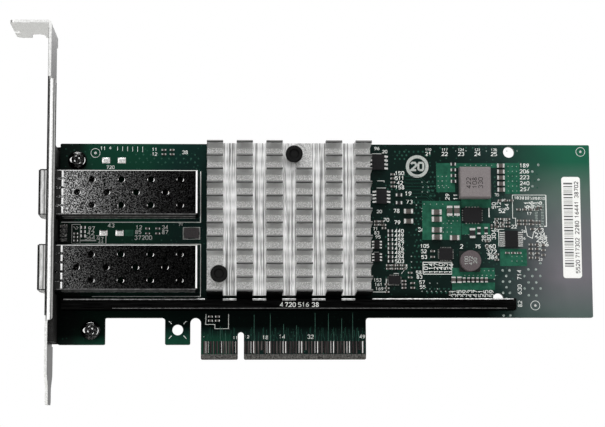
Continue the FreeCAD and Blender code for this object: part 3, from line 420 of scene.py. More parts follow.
# The ferrite's base next to the board is painted dark, for the shade there.
clad("round_inductor", moulding("sintered_ferrite", "#3f383a", "#665d5f", 0.5, 0.25, gloss=0.25,
                                foot=(0.85, "#141d1a")))
fired_ceramic = clad("ceramic_capacitors",
                     moulding("fired_ceramic", "#3c3835", "#5a5551", 0.4, 0.2, gloss=0.3))
clad("chip_resistors", moulding("resistor_glaze", "#101012", "#1d1e20", 0.3, 0.2, gloss=0.3))
clad("crystal_oscillator",
     moulding("lacquered_crystal_lid", "#231e20", "#3a3133", 0.35, 0.3, gloss=0.4))
clad("paper_label", moulding("label_paper", "#e9e9e7", "#f3f3f1", 0.8, 0.3, gloss=0.1))
clad("status_lights", moulding("light_housing", "#0e0f0e", "#dadbd6", 0.3, 0.3, between=(0.52, 0.66)))
clad("thermal_pad", moulding("silicone_pad", "#7a7f83", "#8d9296", 0.8, 0.3, gloss=0.2))
label_ink = moulding("thermal_print_ink", "#565655", "#787877", 0.7, 0.2, gloss=0.1)
coil_ink = moulding("stamped_black_ink", "#201c1d", "#3a3536", 0.7, 0.2, gloss=0.1)
ring_ink = moulding("worn_silk_screen_ink", "#969b97", "#bcc1bd", 0.7, 0.4, gloss=0.1)
silk_ink = moulding("silk_screen_ink", "#d4d8d4", "#f4f6f3", 0.7, 0.25, gloss=0.15)
# Painted shade lines, near black, along edges and outlines.
shade_black = moulding("painted_shade_line", "#111111", "#1d1d1d", 0.6, 0.3, gloss=0.1)


# ---------------------------------------------------------------- mesh helpers

def skin(rings):
    """Closed skin over rings of shape (levels, corners, 3): corner i of level k joins corner i of
    level k + 1, and the first and last rings are capped."""
    levels, corners = rings.shape[:2]
    index = np.arange(levels * corners).reshape(levels, corners)
    after = np.roll(index, -1, axis=1)
    sides = np.stack([index[:-1], after[:-1], after[1:], index[1:]], axis=-1).reshape(-1, 4)
    return rings.reshape(-1, 3), [sides, index[:1, ::-1], index[-1:]]


def spread(form, places, sizes=(1, 1, 1)):
    """Copies of a form at each of the places (n, 3): point = form * size + place."""
    points, faces = form
    places = np.asarray(places, float).reshape(-1, 1, 3)
    moved = points[None] * np.asarray(sizes, float).reshape(-1, 1, 3) + places
    steps = np.arange(len(places))[:, None, None] * len(points)
    copies = [(group[None] + steps).reshape(-1, group.shape[1]) for group in faces]
    return moved.reshape(-1, 3), copies


def gather(forms):
    """Several forms as one."""
    starts = np.cumsum([0] + [len(points) for points, _ in forms[:-1]])
    faces = [group + start for (_, groups), start in zip(forms, starts) for group in groups]
    return np.concatenate([points for points, _ in forms]), faces


def mesh_from(name, points, loops, made):
    """Mesh in one material, from points in millimetres and the loops of points round its faces."""
    mesh = bpy.data.meshes.new(name)
    mesh.from_pydata((np.asarray(points) * MM).tolist(), [], loops)
    mesh.materials.append(made)
    return mesh


def show(name, data, place=Matrix()):
    """Object of the given data, set in the scene by the matrix place."""
    made = bpy.data.objects.new(name, data)
    made.matrix_world = place
    bpy.context.scene.collection.objects.link(made)
    return made


def piece(name, forms, made, smooth=False):
    """Object from forms given in millimetres, riding on the card. All its faces are turned round
    where the volumes that their first three corners span with the origin add up to less than
    nothing, which misses flat rings, crescents and a form with an undefined point."""
    points, faces = gather(forms)
    loops = [loop for group in faces for loop in group.tolist()]
    mesh = mesh_from(name, points, loops, made)
    if np.linalg.det(points[np.array([loop[:3] for loop in loops])]).sum() < 0:
        mesh.flip_normals()
    mesh.polygons.foreach_set("use_smooth", np.full(len(mesh.polygons), smooth))
    built = show(name, mesh)
    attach(built, "root")


def upright(places):
    """Places (x, z) as points with y = 0."""
    return np.insert(np.asarray(places, float).reshape(-1, 2), 1, 0.0, axis=1)


def slabs(places, sizes, level=0.0, rise=INK, bevel=0.0):
    """Slabs centred on places (x, z) with sizes (width, height), which stand over the component
    face at level: rings at the foot, below the bevel and at the top, the last drawn in by bevel,
    as a share of the size."""
    steps = [(0.5, 0), (0.5, rise * 0.7), (0.5 - bevel, rise)] if bevel else [(0.5, 0), (0.5, rise)]
    corners = np.array([(-1, -1), (1, -1), (1, 1), (-1, 1)])
    rings = [np.insert(corners * half, 1, FACE - level - height, axis=1) for half, height in steps]
    sizes = np.broadcast_to(np.asarray(sizes, float).reshape(-1, 2), (len(places), 2))
    return spread(skin(np.stack(rings)), upright(places), np.insert(sizes, 1, 1.0, axis=1))


def turned(profile, corners, places):
    """Round forms on the component face: the profile's (radius, height) points are swung about Y,
    x = r cos t, z = r sin t, y = face - h, and copied to places (x, z)."""
    profile = np.asarray(profile, float)
    angle = np.linspace(0, 2 * PI, corners, endpoint=False)
    radius = profile[:, :1]
    y = np.broadcast_to(FACE - profile[:, 1:], (len(profile), corners))
    rings = np.stack([radius * np.cos(angle), y, radius * np.sin(angle)], axis=-1)
    return spread(skin(rings), upright(places))


def annulus(place, inner, outer, corners=48):
    """Flat ring: a small rectangular section swung about the centre, joined end to start."""
    angle = np.linspace(0, 2 * PI, corners, endpoint=False)
    radius = np.array([inner, outer, outer, inner])[:, None]
    y = np.broadcast_to(FACE - np.array([0, 0, INK, INK])[:, None], (4, corners))
    points = np.stack([place[0] + radius * np.cos(angle), y, place[1] + radius * np.sin(angle)],
                      axis=-1)
    index = np.arange(4 * corners).reshape(4, corners)
    nearby = np.roll(index, -1, axis=0)
    quads = np.stack([index, nearby, np.roll(nearby, -1, axis=1), np.roll(index, -1, axis=1)], -1)
    return points.reshape(-1, 3), [quads.reshape(-1, 4)]


def ribbon(path, width, rise=INK, face=FACE):
    """Flat strip along a path of (x, z) points: at each point the section is set square to the
    mitre of its two runs, and widened there so that the strip keeps its width, up to a limit."""
    sharpest = 0.3
    path = np.asarray(path, float)
    runs = np.diff(path, axis=0)
    runs /= np.linalg.norm(runs, axis=1, keepdims=True)
    after = np.concatenate([runs, runs[-1:]])
    mitre = np.concatenate([runs[:1], runs]) + after
    mitre /= np.linalg.norm(mitre, axis=1, keepdims=True)
    aside = np.stack([-mitre[:, 1], mitre[:, 0]], axis=1)
    aside *= width / 2 / np.maximum(np.abs((mitre * after).sum(axis=1)), sharpest)[:, None]
    left, right = path + aside, path - aside
    return skin(np.stack([np.insert(left, 1, face, axis=1), np.insert(right, 1, face, axis=1),
                          np.insert(right, 1, face - rise, axis=1),
                          np.insert(left, 1, face - rise, axis=1)], axis=1))


def rod(start, end, radius):
    """Thin round line half sunk in a surface: a circle set square to the run from start to end and
    carried along it."""
    start, end = np.asarray(start, float), np.asarray(end, float)
    way = (end - start) / np.linalg.norm(end - start)
    side = np.cross(way, (0, 1, 0) if abs(way[1]) < 0.5 else (1, 0, 0))
    turn = np.linspace(0, 2 * PI, 8, endpoint=False)[:, None]
    ring = radius * (np.cos(turn) * side + np.sin(turn) * np.cross(way, side))
    return skin(np.stack([start + ring, end + ring]))


# Silk-screen digits 0 to 9: each is one stroke on a grid one wide and one and a half high.
DIGIT_HEIGHT = 1.5
DIGIT_PITCH = 1.45
STROKES = [
    [(0.2, 0), (0, 0.3), (0, 1.2), (0.2, 1.5), (0.8, 1.5), (1, 1.2), (1, 0.3), (0.8, 0), (0.2, 0)],
    [(0.15, 1.15), (0.5, 1.5), (0.5, 0)],
    [(0, 1.25), (0.25, 1.5), (0.75, 1.5), (1, 1.2), (1, 0.9), (0, 0), (1, 0)],
    [(0, 1.3), (0.3, 1.5), (0.8, 1.5), (1, 1.15), (0.7, 0.8), (1, 0.4), (0.8, 0), (0.3, 0), (0, 0.2)],
    [(0.75, 0), (0.75, 1.5), (0, 0.45), (1, 0.45)],
    [(1, 1.5), (0.1, 1.5), (0, 0.85), (0.7, 0.95), (1, 0.6), (1, 0.3), (0.75, 0), (0, 0)],
    [(0.9, 1.5), (0.3, 1.2), (0, 0.6), (0.1, 0.15), (0.5, 0), (1, 0.3), (0.9, 0.75), (0.1, 0.75)],
    [(0, 1.5), (1, 1.5), (0.35, 0)],
    [(0.5, 0.8), (0.1, 1.1), (0.25, 1.5), (0.75, 1.5), (0.9, 1.1), (0.5, 0.8), (0, 0.4), (0.2, 0),
     (0.8, 0), (1, 0.4), (0.5, 0.8)],
    [(0.1, 0), (0.7, 0.3), (1, 0.9), (0.9, 1.35), (0.5, 1.5), (0, 1.2), (0.1, 0.75), (0.9, 0.75)]]


def numeral(number, place, height, turn=0.0, weight=0.17, face=FACE, rise=INK):
    """Strokes of a number centred on place, height tall, turned anticlockwise by turn degrees."""
    cosine, sine = math.cos(math.radians(turn)), math.sin(math.radians(turn))
    text = str(number)
    forms = []
    for k, digit in enumerate(text):
        flat = np.array(STROKES[int(digit)]) - (0.5, DIGIT_HEIGHT / 2)
        flat[:, 0] += DIGIT_PITCH * (k - (len(text) - 1) / 2)
        flat = flat * height / DIGIT_HEIGHT @ np.array([(cosine, sine), (-sine, cosine)]) + place
        forms.append(ribbon(flat, weight * height, rise, face))
    return forms


def numerals(marks, *style):
    """Numbers from (number, x, z, height) marks, all in the same turn and weight."""
    return [form for number, x, z, height in marks for form in numeral(number, (x, z), height, *style)]


def grid(x, z, columns, rows, step_x, step_z, stagger=0.0):
    """Places (x, z) on a grid going right and down; odd rows are shifted right by stagger."""
    across, down = np.meshgrid(np.arange(columns), np.arange(rows))
    return np.stack([x + across * step_x + stagger * (down % 2), z - down * step_z],
                    axis=-1).reshape(-1, 2)


def grids(*all_grids):
    """Places of several grids."""
    return np.concatenate([grid(*values) for values in all_grids])


def rectangle(x0, x1, z0, z1):
    """Corners of a rectangle, back to the first."""
    return [(x0, z0), (x1, z0), (x1, z1), (x0, z1), (x0, z0)]


# ---------------------------------------------------------------- copper under the mask

TRACE_WIDTH = 0.16
TRACE_FOOT = 5.8                     # upper end of the edge connector's contacts


def copper_pours():
    """Flooded copper areas, which the mask shows as brighter green plates."""
    areas = [(84.7, 89.5, 53.0, 63.0), (62.6, 68.6, 53.5, 62.9), (68.6, 84.7, 61.4, 62.9),
             (57.9, 70.3, 38.1, 50.6), (70.5, 80.1, 48.4, 51.6), (70.5, 79.6, 39.8, 43.4),
             (82.7, 91.3, 29.7, 35.2), (67.2, 80.9, 25.6, 29.1), (67.2, 80.9, 22.0, 24.4),
             (-36.9, -34.1, 39.2, 41.2)]
    x0, x1, z0, z1 = np.array(areas).T
    form = slabs(np.stack([x0 + x1, z0 + z1], 1) / 2, np.stack([x1 - x0, z1 - z0], 1), rise=0.035)
    piece("copper_pours", [form], pour_mask)


def connector_traces():
    """Short traces from the edge connector's contacts, each with a jog to the neighbouring
    column."""
    lanes = np.concatenate([-11.5 + np.arange(11), 1.5 + np.arange(38)])
    forms = []
    for k, x in enumerate(lanes):
        jog = 0.5 * math.sin(k * 1.7)
        step = 0.5 * (k % 3)
        top = 8.6 + 1.6 * abs(math.sin(k * 2.3))
        forms.append(ribbon([(x, TRACE_FOOT), (x, 6.6 + step), (x + jog, 7.4 + step),
                             (x + jog, top)], TRACE_WIDTH))
    piece("connector_traces", forms, trace_mask)


def long_traces():
    """The few traces that run on from the contacts to the stiffener bar and take the light."""
    runs = [(-6.5, 10.4), (-4.9, 8.4), (4.2, 14.2), (9.3, 14.6), (13.5, 11.2), (17.6, 10.8),
            (23.5, 14.8), (27.7, 14.6), (29.4, 8.8), (31.9, 13.0), (35.4, 14.8), (37.2, 9.0)]
    forms = [ribbon([(x, TRACE_FOOT), (x, top)], 0.17, rise=0.025) for x, top in runs]
    piece("long_traces", forms, lit_trace_mask)


def contact_glints():
    """Painted highlights on the sides of some contacts, which come in pairs one lane apart: thin lines
    down the plating, the second of each pair a little wider."""
    low, high = box("contacts_front")
    lanes = 3.2 + 5.05 * np.arange(7)
    lines = [(x, 0.1) for x in lanes] + [(x + 0.85, 0.2) for x in lanes]
    lines += [(-11.0, 0.08), (-10.2, 0.05), (-6.1, 0.1), (-1.7, 0.06), (38.5, 0.22)]
    forms = [ribbon([(x, low.z + 0.15), (x, high.z - 0.05)], width, face=low.y)
             for x, width in lines]
    piece("contact_glints", forms, highlight_metal)


def signal_traces():
    """Traces that fan out between the packages right of the heat sink and by the free end. The last
    one from the lower fan repeats a point, which leaves its end undefined."""
    forms = []
    for k in range(9):
        x, z = 57.0 + 0.4 * k, 58.6 - 1.1 * k
        forms.append(ribbon([(52.6, z), (x, z), (x + 2.5, z - 2.2), (62.0, z - 2.2)], TRACE_WIDTH))
        x, z = 50.0 + 0.5 * k, 27.5 - 0.4 * k
        forms.append(ribbon([(x, 30.6), (x, z), (x + 2.5, z - 2.5), (56.5, z - 2.5)], TRACE_WIDTH))
    piece("signal_traces", forms, trace_mask)


# ---------------------------------------------------------------- tinned pads and vias

def vias():
    """Tinned vias: a low rim round a dimple, on staggered grids between the parts."""
    large = grids((83.5, 28.3, 2, 5, 2.15, 3.6), (84.6, 26.5, 1, 3, 1, 3.6),
                  (91.7, 28.6, 2, 3, 2.45, 4.15), (90.4, 26.5, 3, 2, 2.55, 4.0),
                  (95.6, 62.4, 1, 2, 1, 4.8), (93.6, 60.2, 1, 2, 1, 4.8), (95.6, 35.3, 1, 2, 1, 4.7))
    small = grids((54.3, 32.8, 1, 3, 1, 1.8), (56.1, 51.8, 1, 2, 1, 2.5),
                  (58.0, 56.7, 2, 3, 1.7, 1.6, 0.3), (60.1, 24.2, 2, 2, 2.4, 1.8),
                  (57.6, 21.6, 12, 1, 1.5, 1), (46.5, 65.2, 1, 4, 1, 1.0),
                  (85.8, 61.9, 3, 6, 1.35, 1.6), (63.2, 58.6, 3, 3, 1.3, 1.5),
                  (66.4, 45.6, 3, 2, 1.4, 1.4), (72.0, 62.2, 7, 1, 1.7, 1), (69.0, 66.9, 7, 1, 3.3, 1),
                  (58.6, 49.6, 4, 1, 2.0, 1), (64.6, 43.4, 3, 3, 1.3, 1.4),
                  (70.6, 28.2, 8, 2, 1.4, 1.5, 0.7), (86.5, 32.8, 3, 2, 1.6, 1.5),
                  (63.5, 55.0, 3, 1, 1.5, 1))
    forms = [turned([(0.4, 0), (0.4, 0.03), (0.26, 0.05), (0.12, 0.03)], 12, large),
             turned([(0.19, 0), (0.19, 0.03), (0.11, 0.045)], 8, small)]
    piece("vias", forms, via_tin)


def tented_vias():
    """Vias under the mask: low, dim studs with a flat top, on staggered grids between the parts
    and clear of the ring mark."""
    studs = grids((-33.5, 65.4, 9, 3, 2.35, 1.25, 1.1), (-47.5, 62.2, 2, 1, 5.2, 1),
                  (-37.6, 37.9, 6, 1, 3.1, 1), (49.4, 66.6, 8, 3, 1.5, 1.2, 0.7),
                  (60.2, 59.9, 2, 6, 1.25, 1.5, 0.6), (52.3, 61.6, 2, 3, 1.2, 1.3, 0.6),
                  (55.4, 50.2, 2, 13, 1.3, 1.75, 0.65), (59.8, 55.4, 2, 2, 1.3, 1.3),
                  (46.4, 55.6, 3, 2, 1.3, 1.2, 0.6), (46.2, 39.0, 2, 8, 1.25, 1.5, 0.6),
                  (58.6, 22.4, 6, 2, 1.5, 1.2, 0.7), (64.0, 67.9, 9, 1, 2.1, 1),
                  (90.6, 59.4, 4, 3, 1.5, 2.2, 0.7), (81.4, 58.4, 1, 5, 1, 1.5))
    clear = 4.3
    studs = studs[np.linalg.norm(studs - RING_MARK, axis=1) > clear]
    form = turned([(0.3, 0), (0.3, 0.03), (0.2, 0.04)], 8, studs)
    piece("tented_vias", [form], tented_mask)


def solder_pads():
    """Unfitted parts' tinned pads, domed by surface tension: height falls off as the fourth power
    towards all four sides."""
    count = 7
    u, w = np.meshgrid(np.linspace(-1, 1, count), np.linspace(-1, 1, count))
    height = 0.02 + 0.09 * (1 - u ** 4) * (1 - w ** 4)
    top = np.stack([u / 2, FACE - height, w / 2], axis=-1).reshape(-1, 3)
    foot = top * (1, 0, 1) + (0, FACE, 0)
    index = np.arange(len(top)).reshape(count, count)
    cells = np.stack([index[:-1, :-1], index[:-1, 1:], index[1:, 1:], index[1:, :-1]],
                     axis=-1).reshape(-1, 4)
    rim = np.concatenate([index[0, :-1], index[:-1, -1], index[-1, :0:-1], index[:0:-1, 0]])
    after = np.roll(rim, -1)
    walls = np.stack([rim, rim + len(top), after + len(top), after], axis=1)
    mound = np.concatenate([top, foot]), [cells, cells[:, ::-1] + len(top), walls]
    large = [(-43.0, 63.5), (-38.0, 63.5), (-43.6, 40.2), (-38.5, 40.2)]
    small = grids((50.4, 65.6, 2, 4, 1.5, 0.8), (42.0, 59.1, 3, 3, 1.3, 1.0),
                  (45.9, 59.2, 2, 3, 1.6, 1.2), (50.0, 27.9, 2, 1, 2.2, 1), (43.4, 48.0, 3, 1, 1.3, 1),
                  (87.0, 42.0, 4, 2, 1.6, 1.2), (60.6, 34.4, 2, 2, 1.2, 1.8))
    forms = [spread(mound, upright(large), (2.5, 1, 1.8)),
             spread(mound, upright(small), (0.8, 0.8, 0.5))]
    piece("solder_pads", forms, tin)


copper_pours()
connector_traces()
long_traces()
contact_glints()
signal_traces()
vias()
tented_vias()
solder_pads()


# ---------------------------------------------------------------- silk screen

def silk_outlines():
    """Part outlines, frames and ticks printed in white ink, each with its line's width."""
    low, high = box("crystal_oscillator")
    lines = [
        (0.24, [(-12.87, 43.64), (-57.0, 43.6)]), (0.3, [(-12.87, 43.5), (-12.87, 60.0)]),
        (0.24, [(-42.8, 36.59), (-12.8, 36.59), (-12.8, 19.96), (-47.0, 19.96)]),
        (0.16, rectangle(-53.6, -50.95, 36.85, 42.9)), (0.4, [(-51.0, 37.77), (-45.9, 37.77)]),
        (0.26, [(-50.9, 36.7), (-42.8, 36.7), (-42.8, 39.2)]), (0.14, [(-53.1, 42.3), (-52.2, 41.3)]),
        (0.14, [(-52.2, 42.3), (-51.6, 41.9), (-52.0, 41.4)]),
        (0.15, [(-11.0, 14.4), (-11.1, 11.1), (-8.2, 11.1), (-8.2, 9.76), (-3.9, 9.76), (-3.9, 14.4)]),
        (0.22, rectangle(58.0, 67.2, 27.1, 30.9)), (0.22, [(41.6, 21.4), (46.2, 21.4), (46.2, 25.6)]),
        (0.28, [(97.8, 52.6), (97.8, 42.5), (95.6, 42.5)]),
        (0.15, [(97.8, 52.6), (87.0, 52.6), (87.0, 45.1), (87.9, 45.1), (87.9, 42.6)]),
        (0.3, [(80.7, 28.9), (80.7, 25.4)]), (0.3, [(79.4, 45.4), (79.4, 49.2)]),
        (0.14, rectangle(low.x - 0.3, high.x + 0.3, low.z - 0.35, high.z + 0.35)),
        (0.16, [(52.2, 28.6), (51.0, 27.2)]), (0.16, [(48.6, 27.3), (50.3, 27.3)]),
        (0.2, [(42.3, 34.1), (43.9, 34.1)]), (0.16, [(42.1, 65.9), (45.0, 65.9)]),
        (0.16, [(43.6, 57.1), (45.8, 57.1), (45.8, 56.6)]), (0.16, [(43.4, 54.8), (46.4, 54.8)]),
        (0.16, [(84.2, 41.5), (82.4, 41.5), (82.4, 36.0)]),
        (0.18, [(91.0, 42.6), (91.6, 39.4), (93.2, 38.6), (93.6, 40.4)])]
    lines += [(0.14, [(-39.4 + 1.6 * k, 66.7 - 0.1 * k), (-39.4 + 1.6 * k, 68.0)]) for k in range(6)]
    hole = np.array([-19.93, 9.4])
    for turn in np.radians([45, 135, 225, 315]):
        way = np.array([np.cos(turn), np.sin(turn)])
        lines.append((0.2, [hole + way * 2.6, hole + way * 3.9]))
    forms = [ribbon(path, width) for width, path in lines]
    piece("silk_outlines", forms, silk_ink)


def date_ring():
    """Plain ring mark with a number in it."""
    forms = [annulus(RING_MARK, 2.65, 3.65)] + numeral(20, RING_MARK, 2.4, weight=0.27)
    piece("date_ring", forms, ring_ink)


def part_numbers():
    """Plain reference numbers beside the parts."""
    marks = {
        1.0: [(96, 43.6, 67.6), (20, 46.1, 66.6), (20, 44.2, 47.2), (44, -44.4, 37.3),
              (720, -41.6, 61.3), (11, -27.6, 67.1), (12, -27.6, 65.6), (1, -11.5, 6.9)],
        1.15: [(150, 50.8, 59.6), (511, 50.8, 58.0), (42, 50.9, 56.5), (158, 50.8, 55.0)],
        1.3: [(19, 53.5, 53.0), (73, 53.8, 50.3), (2, 70.4, 36.0), (52, 83.6, 47.5), (97, -47.4, 41.6),
              (42, -47.6, 40.2), (5647, -47.3, 38.7), (37200, -31.0, 38.7)],
        1.2: [(78, 49.7, 47.4), (79, 49.9, 43.7), (23, 68.7, 40.6), (8, 52.6, 29.6), (91, 73.8, 49.7),
              (12, -32.4, 42.0), (85, -32.6, 40.5), (34, -24.1, 42.0), (87, -24.1, 40.5),
              (14, 13.0, 7.2), (32, 22.0, 7.2)],
        1.1: [(70, 46.4, 44.5), (105, 58.6, 36.1), (52, 58.3, 34.4), (53, 58.4, 32.6), (58, 56.6, 27.6),
              (83, 56.8, 26.2), (57, 57.6, 24.5), (55, 57.8, 23.0), (18, 83.4, 42.7), (22, 87.4, 42.4),
              (75, 75.6, 36.0), (47, -44.5, 38.3), (11, -44.0, 67.4), (38, -17.9, 66.2), (18, 7.7, 7.0),
              (49, 38.4, 7.2)],
        1.25: [(34, 58.7, 47.7), (35, 58.8, 45.1), (36, 57.5, 41.4), (43, -41.2, 42.6)],
        0.9: [(71, -19.1, 42.9), (12, 1.9, 7.2), (47, 81.5, 43.9), (86, 84.6, 44.6), (90, 79.4, 33.4),
              (38, 95.4, 36.4), (55, 97.2, 39.0), (26, 90.4, 40.9), (17, 92.3, 46.6), (35, 82.0, 52.7)],
        0.8: [(6, -41.7, 67.6), (16, 90.3, 38.6), (85, 81.6, 41.2), (61, 87.4, 36.2), (92, 84.2, 50.9),
              (70, 93.0, 33.6), (33, 95.6, 31.8)],
        0.95: [(11, -1.75, 6.9)]}
    turned_marks = [
        (714, 88.8, 26.9), (630, 88.8, 22.2), (82, 88.8, 17.6), (29, 66.1, 52.0), (11, 68.7, 52.0),
        (27, 72.2, 40.7), (28, 77.6, 38.6), (30, 79.2, 38.6), (304, 80.8, 39.8), (50, 81.0, 49.2),
        (12, 82.6, 49.4), (64, 85.2, 48.8)]
    print_scale = 0.92
    forms = numerals([(*mark, print_scale * height) for height, group in marks.items()
                      for mark in group])
    forms += numerals([(*mark, 1.15) for mark in turned_marks], 90, 0.14)
    # Runs of numbers: how many, the first and the step, where, the way to the next, height, turn.
    runs = [(5, 189, 17, 91.05, 62.2, 0, -1.92, 1.1, 0), (5, 21, 1, 60.1, 65.9, 5.3, 0, 1.1, 0),
            (5, 110, 7, 60.1, 67.3, 5.3, 0, 0.7, 0), (8, 440, 9, 50.5, 40.9, 0, -1.385, 1.05, 0),
            (3, 153, 8, 43.4, 25.2, 0.3, -1.4, 0.9, 0), (3, 360, 12, 79.7, 36.0, 0.3, -1.7, 1.2, 0),
            (3, 71, 12, 42.9, 41.6, 0.4, -1.3, 0.9, 0), (8, 31, 4, 67.7, 20.9, 1.71, 0, 1.3, 90),
            (6, 101, 13, 58.9, 29.0, 1.6, 0, 1.2, 90), (11, 10, 7, 88.3, 51.7, 0.85, -0.02, 0.8, 0),
            (4, 213, 21, 95.2, 41.2, 0.5, -1.5, 1.2, 0), (4, 61, 5, 91.6, 49.4, 1.4, 0, 1.3, 90)]
    for count, first, step, x, z, right, up, height, turn in runs:
        forms += numerals([(first + step * k, x + right * k, z + up * k, height)
                           for k in range(count)], turn)
    piece("part_numbers", forms, silk_ink)


def fiducials():
    """Alignment marks: a tinned dot in a silk ring."""
    spots = [(-46.4, 65.9), (109.3, 66.7), (93.7, 17.1)]
    dots = turned([(0.4, 0), (0.4, 0.03), (0.3, 0.045)], 20, spots)
    piece("fiducial_dots", [dots], tin)
    rings = [annulus(spot, 1.38, 1.51, 32) for spot in spots]
    piece("fiducial_rings", rings, silk_ink)


silk_outlines()
date_ring()
part_numbers()
fiducials()


# ---------------------------------------------------------------- smallest chips

def small_chips():
    """The smallest two-terminal chips: a dark body with a rounded top and a solder cap at each
    end, in the rows and clusters round the packages."""
    lying = grids(
        (53.8, 27.5, 1, 2, 1, 1.5), (54.6, 24.2, 1, 2, 1, 1.5), (48.6, 59.2, 1, 4, 1, 1.3),
        (61.1, 34.4, 1, 2, 1, 1.8), (45.6, 42.8, 1, 2, 1, 1.0), (46.9, 29.9, 4, 2, 1.7, 1.1),
        (43.2, 44.0, 2, 2, 1.7, 1.1), (46.4, 23.8, 1, 3, 1, 1.2), (51.8, 24.9, 1, 3, 1, 1.1),
        (89.0, 44.3, 3, 2, 1.9, 1.1), (92.6, 36.6, 2, 4, 2.0, 1.4), (88.9, 47.9, 4, 1, 1.9, 1),
        (81.8, 44.8, 3, 3, 1.8, 1.2), (85.0, 33.9, 3, 1, 1.9, 1), (83.0, 50.8, 3, 1, 1.8, 1),
        (81.6, 33.4, 1, 2, 1, 1.7), (-29.6, 41.6, 2, 2, 3.2, 1.6), (-24.6, 66.9, 2, 2, 2.6, 1.4),
        (-52.3, 40.0, 1, 3, 1, 1.15), (-9.6, 13.6, 2, 2, 2.2, 1.3), (78.6, 37.6, 1, 2, 1, 1.5),
        (93.2, 41.6, 2, 1, 2.2, 1), (96.6, 36.4, 1, 3, 1, 1.6))
    standing = grids((95.0, 48.4, 2, 1, 1.1, 1), (93.6, 43.6, 3, 1, 1.0, 1),
                     (80.2, 42.3, 2, 1, 1.1, 1), (66.4, 20.9, 1, 1, 1, 1))
    bodies = [slabs(lying, (1.0, 0.62), rise=0.4, bevel=0.06),
              slabs(standing, (0.62, 1.0), rise=0.4, bevel=0.06)]
    ends = []
    for reach in (-0.57, 0.57):
        ends.append(slabs(lying + (reach, 0), (0.36, 0.68), rise=0.38, bevel=0.15))
        ends.append(slabs(standing + (0, reach), (0.68, 0.36), rise=0.38, bevel=0.15))
    piece("small_chip_bodies", bodies, fired_ceramic)
    piece("small_chip_ends", ends, tin)


def fine_pitch_connector():
    """Unfitted fine-pitch connector's two rows of pads inside its printed frame."""
    pads = slabs(grid(94.6, 49.5, 2, 15, 2.0, 0.5), (0.9, 0.24), rise=0.04)
    piece("fine_pitch_pads", [pads], via_tin)


def leadless_pads():
    """Pad ends that show round the leadless packages and the crystal."""
    forms = []
    for node, per_side in (("power_stage_chip", 5), ("regulator_chip", 7), ("clock_buffer_chip", 6)):
        low, high = box(node)
        down = (high.z - low.z) / (per_side + 1)
        across = (high.x - low.x) / (per_side + 1)
        upended = grid(low.x - 0.15, high.z - down, 2, per_side, high.x - low.x + 0.3, down)
        level = grid(low.x + across, high.z + 0.15, per_side, 2, across, high.z - low.z + 0.3)
        forms += [slabs(upended, (0.55, down * 0.45), rise=0.06),
                  slabs(level, (across * 0.45, 0.55), rise=0.06)]
    low, high = box("crystal_oscillator")
    corners = grid(low.x + 0.5, high.z - 0.4, 2, 2, high.x - low.x - 1.0, high.z - low.z - 0.8)
    forms.append(slabs(corners, (1.5, 1.2), rise=0.12))
    piece("leadless_pads", forms, pad_edge)


small_chips()
fine_pitch_connector()
leadless_pads()


# ---------------------------------------------------------------- label and stamped marks

def label_print():
    """Bars of varied weight down the label and a column of plain numerals beside them."""
    low, high = box("paper_label")
    z = high.z - 1.9
    places, sizes = [], []
    for k in range(38):
        weight = 0.13 + 0.42 * abs(math.sin(k * 0.61 + 1.5)) ** 4
        if z - weight / 2 > low.z + 1.6:
            places.append((low.x + 2.05, z - weight / 2))
            sizes.append((2.9, weight))
        z -= weight + 0.3 + 0.25 * (0.5 + 0.5 * math.sin(k * 1.3 + 1))
    piece("label_bars", [slabs(places, sizes, level=FACE - low.y)], label_ink)
    marks = [(number, low.x + 4.75, high.z - drop, 1.15) for number, drop in (
        (38702, 4.2), (16441, 10.6), (2280, 16.4), (717302, 23.0), (5520, 29.0))]
    piece("label_numbers", numerals(marks, 90, 0.17, low.y), coil_ink)


def coil_mark(node, name, made, numbers, first, step, drop, height, weight):
    """Plain numbers stamped on an inductor's top, in columns from first on, counted from its
    middle."""
    low, high = box(node)
    x, z = (low.x + high.x) / 2 + first, (low.z + high.z) / 2 - drop
    marks = [(number, x + step * k, z, height) for k, number in enumerate(numbers)]
    piece(name, numerals(marks, 90, weight, low.y, 0.01), made)


label_print()
coil_mark("square_inductor", "square_coil_mark", coil_ink, (422, 108, 330), -2.2, 1.9, 0.3, 1.3, 0.15)
coil_mark("round_inductor", "round_coil_mark", ring_ink, (100, 472, 20), -1.4, 1.4, 0.0, 1.0, 0.13)


# ---------------------------------------------------------------- port cages and bracket

def collar_seams(port):
    """Painted shade outlining a collar's band: along its two long edges and round its mouth."""
    low, high = box("port_cover_" + port)
    outer = box("mounting_bracket")[0].x + FLANGE_START - 0.05
    front = low.x + 0.5
    runs = [[(front, high.z + 0.05), (outer, high.z + 0.05)],
            [(front, low.z - 0.02), (outer, low.z - 0.02)], [(front, low.z), (front, high.z)]]
    forms = [ribbon(run, 0.28, 0.35, face=low.y - 0.05) for run in runs]
    piece("collar_seams_" + port, forms, shade_black)


def cage_folds(port):
    """Painted highlights on the folds of a cage: thin lines along the upper and lower fold of its
    top, the lower one dim, and a broader one down the rear fold."""
    low, high = box("port_cover_" + port)
    start = board_low.x
    forms = [ribbon([(start, high.z - 0.12), (high.x - 0.1, high.z - 0.12)], 0.14, 0.03, low.y),
             ribbon([(high.x - 0.45, low.z + 0.4), (high.x - 0.45, high.z - 0.25)], 0.5, 0.04, low.y)]
    piece("cage_folds_" + port, forms, highlight_metal)
    dim = ribbon([(start, low.z + 0.12), (high.x - 0.6, low.z + 0.12)], 0.12, 0.03, low.y)
    piece("cage_lower_fold_" + port, [dim], dim_highlight_metal)


